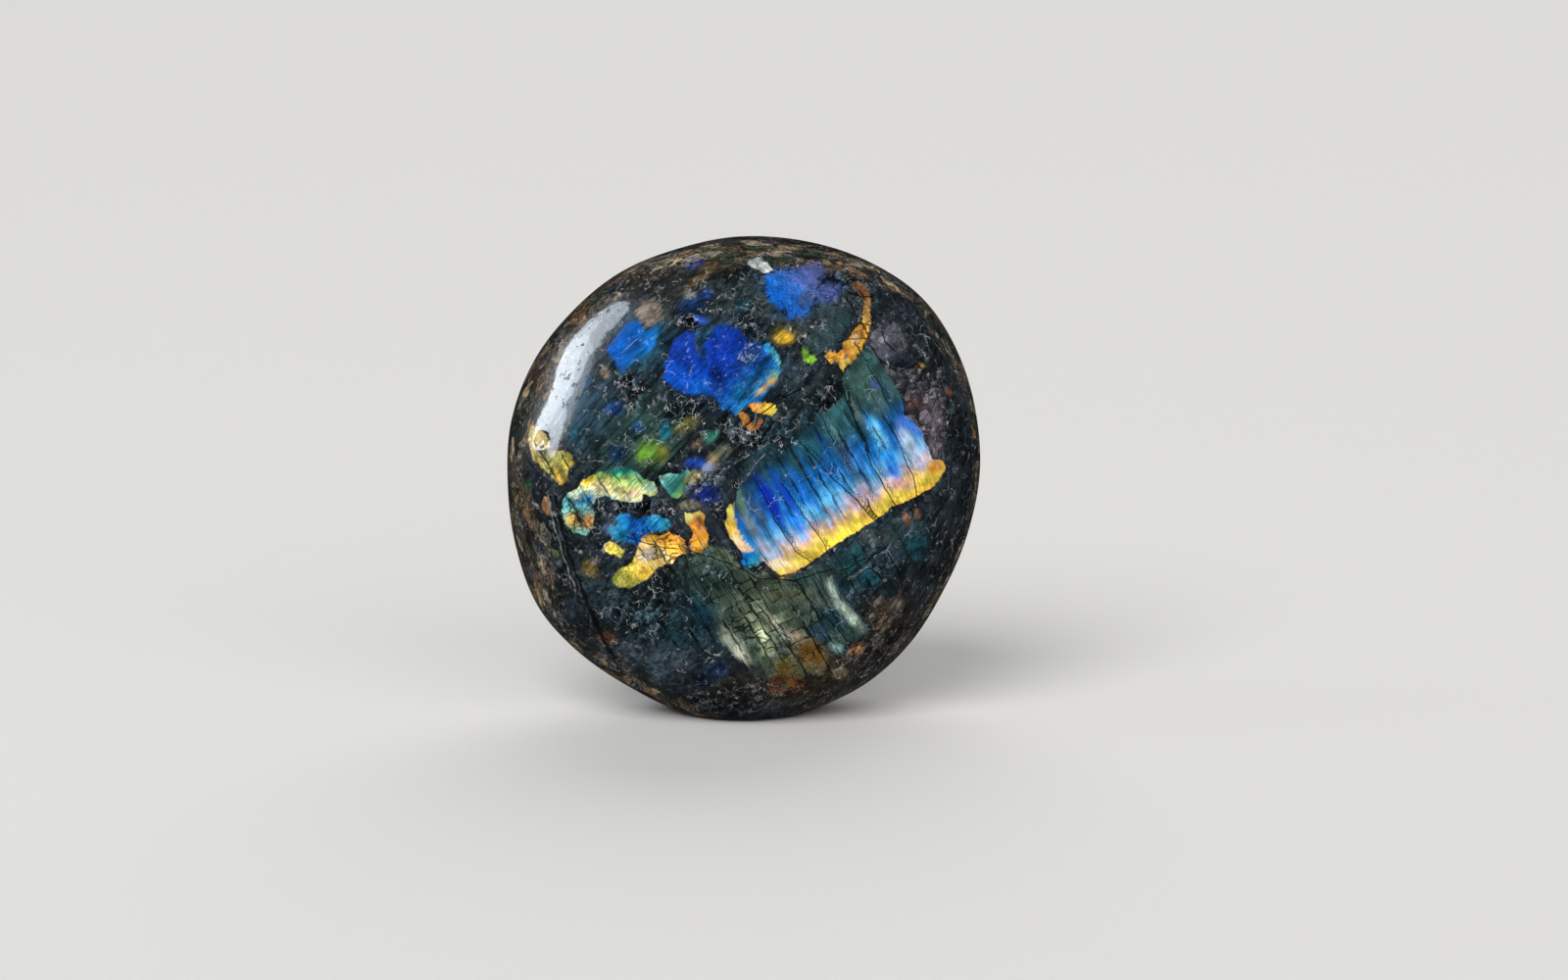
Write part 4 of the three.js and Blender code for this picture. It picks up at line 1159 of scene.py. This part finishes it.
def stone_material():
    material = bpy.data.materials.new("polished_labradorite")
    material.use_nodes = True
    tree = material.node_tree
    tree.nodes.clear()
    g = Graph(tree)
    here = g.node("TexCoord").outputs["Object"]
    place = g.scaled(here, 1 / MM)
    wobble = g.node("TexNoise", {"Vector": place, "Scale": 0.5, "Detail": 3.0}).outputs["Color"]
    bent = g.sum(place, g.scaled(wobble, GRAIN_BEND))
    slightly_bent = g.sum(place, g.scaled(wobble, CRACK_BEND))
    ragged = g.maths("SUBTRACT", g.clouds(place, 0.9, 5.0, 0.65), 0.5)

    # Which grain a crystal has: 0 for the steep run, 1 for the rising one
    grain = g.step(g.attribute("grain").outputs["Fac"], -20.0, 20.0)
    streaks = streak_pair(g, place, 9.0, 0.8, 3.0, grain)
    soft = g.attribute("soft").outputs["Fac"]
    flash = flash_colour(g, place, bent, grain, soft, streaks)
    rock = rock_colour(g, place, bent, streaks)
    wander = g.maths("SUBTRACT", g.clouds(place, 0.3, 4.0), 0.5)
    rim = g.maths("ADD", g.attribute("rim").outputs["Fac"], g.maths("MULTIPLY", wander, 0.9))
    rock = g.mix(g.step(rim, 0.35, 0.75, 0.0, 0.85), rock, wall_colour(g, place, wobble))

    # Where the crystals are, with a ragged edge that fades over its own width
    torn = g.maths("MULTIPLY", ragged, 0.9)
    fringe = g.maths("MULTIPLY", g.maths("SUBTRACT", streaks, 0.5), g.maths("MULTIPLY", soft, 5.0))
    edge = g.maths("ADD", g.maths("ADD", g.attribute("edge").outputs["Fac"], torn), fringe)
    inside = g.step(edge, g.maths("MULTIPLY", soft, -1.0), soft)
    base = g.mix(inside, rock, flash)

    # Dark cracks: block cracks, crystals' outlines, and the ones with places of their own, among them a
    # painted dark reflection along the left ridge
    crackle = g.attribute("crackle").outputs["Fac"]
    cracks, block_tone = blocks(g, slightly_bent, crackle)
    base = g.scaled(base, block_tone)
    outline = g.maths("MULTIPLY", g.line(edge, 0.0, 0.22), g.step(crackle, 0.4, 0.8))
    cracks = g.maths("MAXIMUM", cracks, outline)
    bend = g.maths("MULTIPLY", ragged, 1.2)
    own = g.line(g.maths("ADD", g.attribute("crack_and_dark_reflection").outputs["Fac"], bend), 0.0, 0.7)
    cracks = g.maths("MAXIMUM", cracks, own)
    base = g.mix(g.maths("MULTIPLY", cracks, CRACK_AND_REFLECTION_SHARE), base, colour_value(INK))

    # Pale hairs, and veins with places of their own, one of which is a painted highlight along the left
    # ridge
    hairs = hair_marks(g, place, bent, inside)
    vein_and_highlight = g.line(g.attribute("vein_and_highlight").outputs["Fac"], 0.0, 0.8)
    hairs = g.maths("MAXIMUM", hairs, g.maths("MULTIPLY", vein_and_highlight, VEIN_AND_HIGHLIGHT_SHARE))
    light = g.step(g.clouds(place, 0.8), 0.35, 0.65)
    hair_colour = g.mix(light, colour_value(DIM_HAIR), colour_value(PALE_HAIR))
    hair_colour = g.mix(g.maths("MULTIPLY", inside, 0.8), hair_colour, colour_value(CRYSTAL_HAIR))
    base = g.mix(hairs, base, hair_colour)

    shader = g.node("BsdfPrincipled", {
        "Base Color": base,
        "Roughness": g.step(hairs, 0.0, 1.0, 0.22, 0.5),
        "Specular IOR Level": UNDER_GLOSS,
        "Coat Weight": 1.0,
        "Coat Roughness": POLISH_ROUGHNESS,
    })
    height = g.maths("SUBTRACT", ragged, g.maths("MULTIPLY", own, 0.5))
    rough_bump = g.node("Bump", {
        "Height": height,
        "Strength": g.step(inside, 0.0, 1.0, 0.4, 0.12),
        "Distance": RAGGED_DEPTH * MM,
    }).outputs[0]
    pits = g.step(g.clouds(place, 0.6, 5.0, 0.72), 0.6, 0.635)
    waves = g.clouds(place, 0.16, 2.0)
    waves_bump = g.node("Bump", {"Height": waves, "Strength": 0.35, "Distance": WAVE_DEPTH * MM})
    broken = g.maths("MULTIPLY", pits, g.clouds(place, 4.0, 2.0))
    polish_bump = g.node("Bump", {
        "Height": broken,
        "Strength": 1.0,
        "Distance": POLISH_PIT_DEPTH * MM,
        "Normal": waves_bump.outputs[0],
    }).outputs[0]
    g.feed(shader.inputs["Normal"], rough_bump)
    g.feed(shader.inputs["Coat Normal"], polish_bump)
    g.feed(g.node("OutputMaterial").inputs["Surface"], shader.outputs[0])
    return material


# The piece


def add_attribute(mesh, name, kind, values):
    layer = mesh.attributes.new(name, kind, "POINT")
    if kind == "FLOAT_COLOR":
        values = np.concatenate([values, np.ones((len(values), 1))], axis=1)
        layer.data.foreach_set("color", values.astype(np.float32).ravel())
    else:
        layer.data.foreach_set("value", values.astype(np.float32))


def labradorite():
    corners, cells = box_grid()
    points = skin_points(corners)
    normals = point_normals(points, cells)
    marks = marks_on(points, normals)
    points -= normals * pit_depths(points, normals)[:, None]
    mesh = bpy.data.meshes.new("labradorite")
    mesh.from_pydata((points * MM).tolist(), [], cells.tolist())
    mesh.shade_smooth()
    for name in ("edge", "soft", "calm", "hair", "crackle", "crack_and_dark_reflection", "vein_and_highlight", "grain"):
        add_attribute(mesh, name, "FLOAT", getattr(marks, name))
    for name in ("near", "far", "ground"):
        add_attribute(mesh, name, "FLOAT_COLOR", getattr(marks, name))
    add_attribute(mesh, "rim", "FLOAT", rim_share(points, normals))
    mesh.materials.append(stone_material())
    stone = bpy.data.objects.new("labradorite", mesh)
    bpy.context.collection.objects.link(stone)
    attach(stone, "root")
    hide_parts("stone")


# Stage, light and camera


def look_at(thing, target):
    away = thing.location - Vector(target)
    thing.rotation_euler = away.to_track_quat("Z", "Y").to_euler()


def add_camera():
    data = bpy.data.cameras.new("camera")
    data.lens = LENS
    data.sensor_width = SENSOR
    data.sensor_fit = "HORIZONTAL"
    camera = bpy.data.objects.new("camera", data)
    camera.location = CAMERA_PLACE * MM
    bpy.context.collection.objects.link(camera)
    look_at(camera, AIM * MM)
    bpy.context.scene.camera = camera


FLOOR_SIZE = 12  # metres
FLOOR_COLOUR = (222, 221, 218)
SOFTBOX_COLOUR = (0.82, 0.91, 1.0)
BACKGROUND = (0.80, 0.80, 0.79)
AMBIENT = 0.10  # brightness of the room for soft light on the stone
REFLECTED = 0.012  # and in its polish


def add_floor():
    mesh = bpy.data.meshes.new("floor")
    half = FLOOR_SIZE / 2
    corners = [(-half, -half, 0), (half, -half, 0), (half, half, 0), (-half, half, 0)]
    mesh.from_pydata(corners, [], [(0, 1, 2, 3)])
    material = bpy.data.materials.new("floor")
    material.use_nodes = True
    shader = material.node_tree.nodes["Principled BSDF"]
    shader.inputs["Base Color"].default_value = colour_value(FLOOR_COLOUR)
    shader.inputs["Roughness"].default_value = 0.9
    mesh.materials.append(material)
    floor = bpy.data.objects.new("floor", mesh)
    bpy.context.collection.objects.link(floor)
    floor.visible_glossy = False


def add_world():
    world = bpy.data.worlds.new("studio")
    bpy.context.scene.world = world
    world.use_nodes = True
    tree = world.node_tree
    tree.nodes.clear()
    g = Graph(tree)
    ray = g.node("LightPath")
    pale = g.node("Background", {"Color": (*BACKGROUND, 1), "Strength": 1.0})
    soft = g.node("Background", {"Color": (1, 1, 1, 1), "Strength": AMBIENT})
    dark = g.node("Background", {"Color": (1, 1, 1, 1), "Strength": REFLECTED})
    lit = g.node("MixShader", {0: ray.outputs["Is Glossy Ray"], 1: soft.outputs[0], 2: dark.outputs[0]})
    whole = g.node("MixShader", {0: ray.outputs["Is Camera Ray"], 1: lit.outputs[0], 2: pale.outputs[0]})
    g.feed(g.node("OutputWorld").inputs["Surface"], whole.outputs[0])


def place_light(name, data, azimuth, elevation, distance):
    light = bpy.data.objects.new(name, data)
    light.location = MIDDLE * MM + turned(azimuth, elevation) * distance
    bpy.context.collection.objects.link(light)
    look_at(light, MIDDLE * MM)
    light.visible_camera = False
    return light


def add_sun(name, azimuth, elevation, softness, strength):
    """Even soft light from one side, which leaves no spot of its own in the polish."""
    data = bpy.data.lights.new(name, "SUN")
    data.angle = math.radians(softness)
    data.energy = strength
    light = place_light(name, data, azimuth, elevation, 2)
    light.visible_glossy = False


def add_softbox(name, azimuth, elevation, distance, size, power):
    """A lit oval panel that shows in the polish. Size is its width and height in metres."""
    data = bpy.data.lights.new(name, "AREA")
    data.shape = "ELLIPSE"
    data.size, data.size_y = size
    data.energy = power
    data.color = SOFTBOX_COLOUR
    light = place_light(name, data, azimuth, elevation, distance)
    light.visible_diffuse = False


def add_lights():
    add_sun("key", -34, 44, 40, 2.3)
    add_sun("fill", 20, 22, 60, 1.2)
    add_sun("back", 165, 36, 60, 1.5)
    add_softbox("softbox_core", -103, 29, 0.75, (0.17, 0.50), 0.7)
    add_softbox("softbox_bright", -101, 33, 0.76, (0.25, 0.70), 3.0)
    add_softbox("softbox_soft", -95, 25, 0.77, (0.40, 0.54), 1.5)
    add_softbox("softbox_tail", -90, 12, 0.76, (0.13, 0.27), 0.6)


add_camera()
labradorite()
add_floor()
add_world()
add_lights()
bpy.context.scene.view_settings.view_transform = "Standard"
bpy.context.view_layer.update()
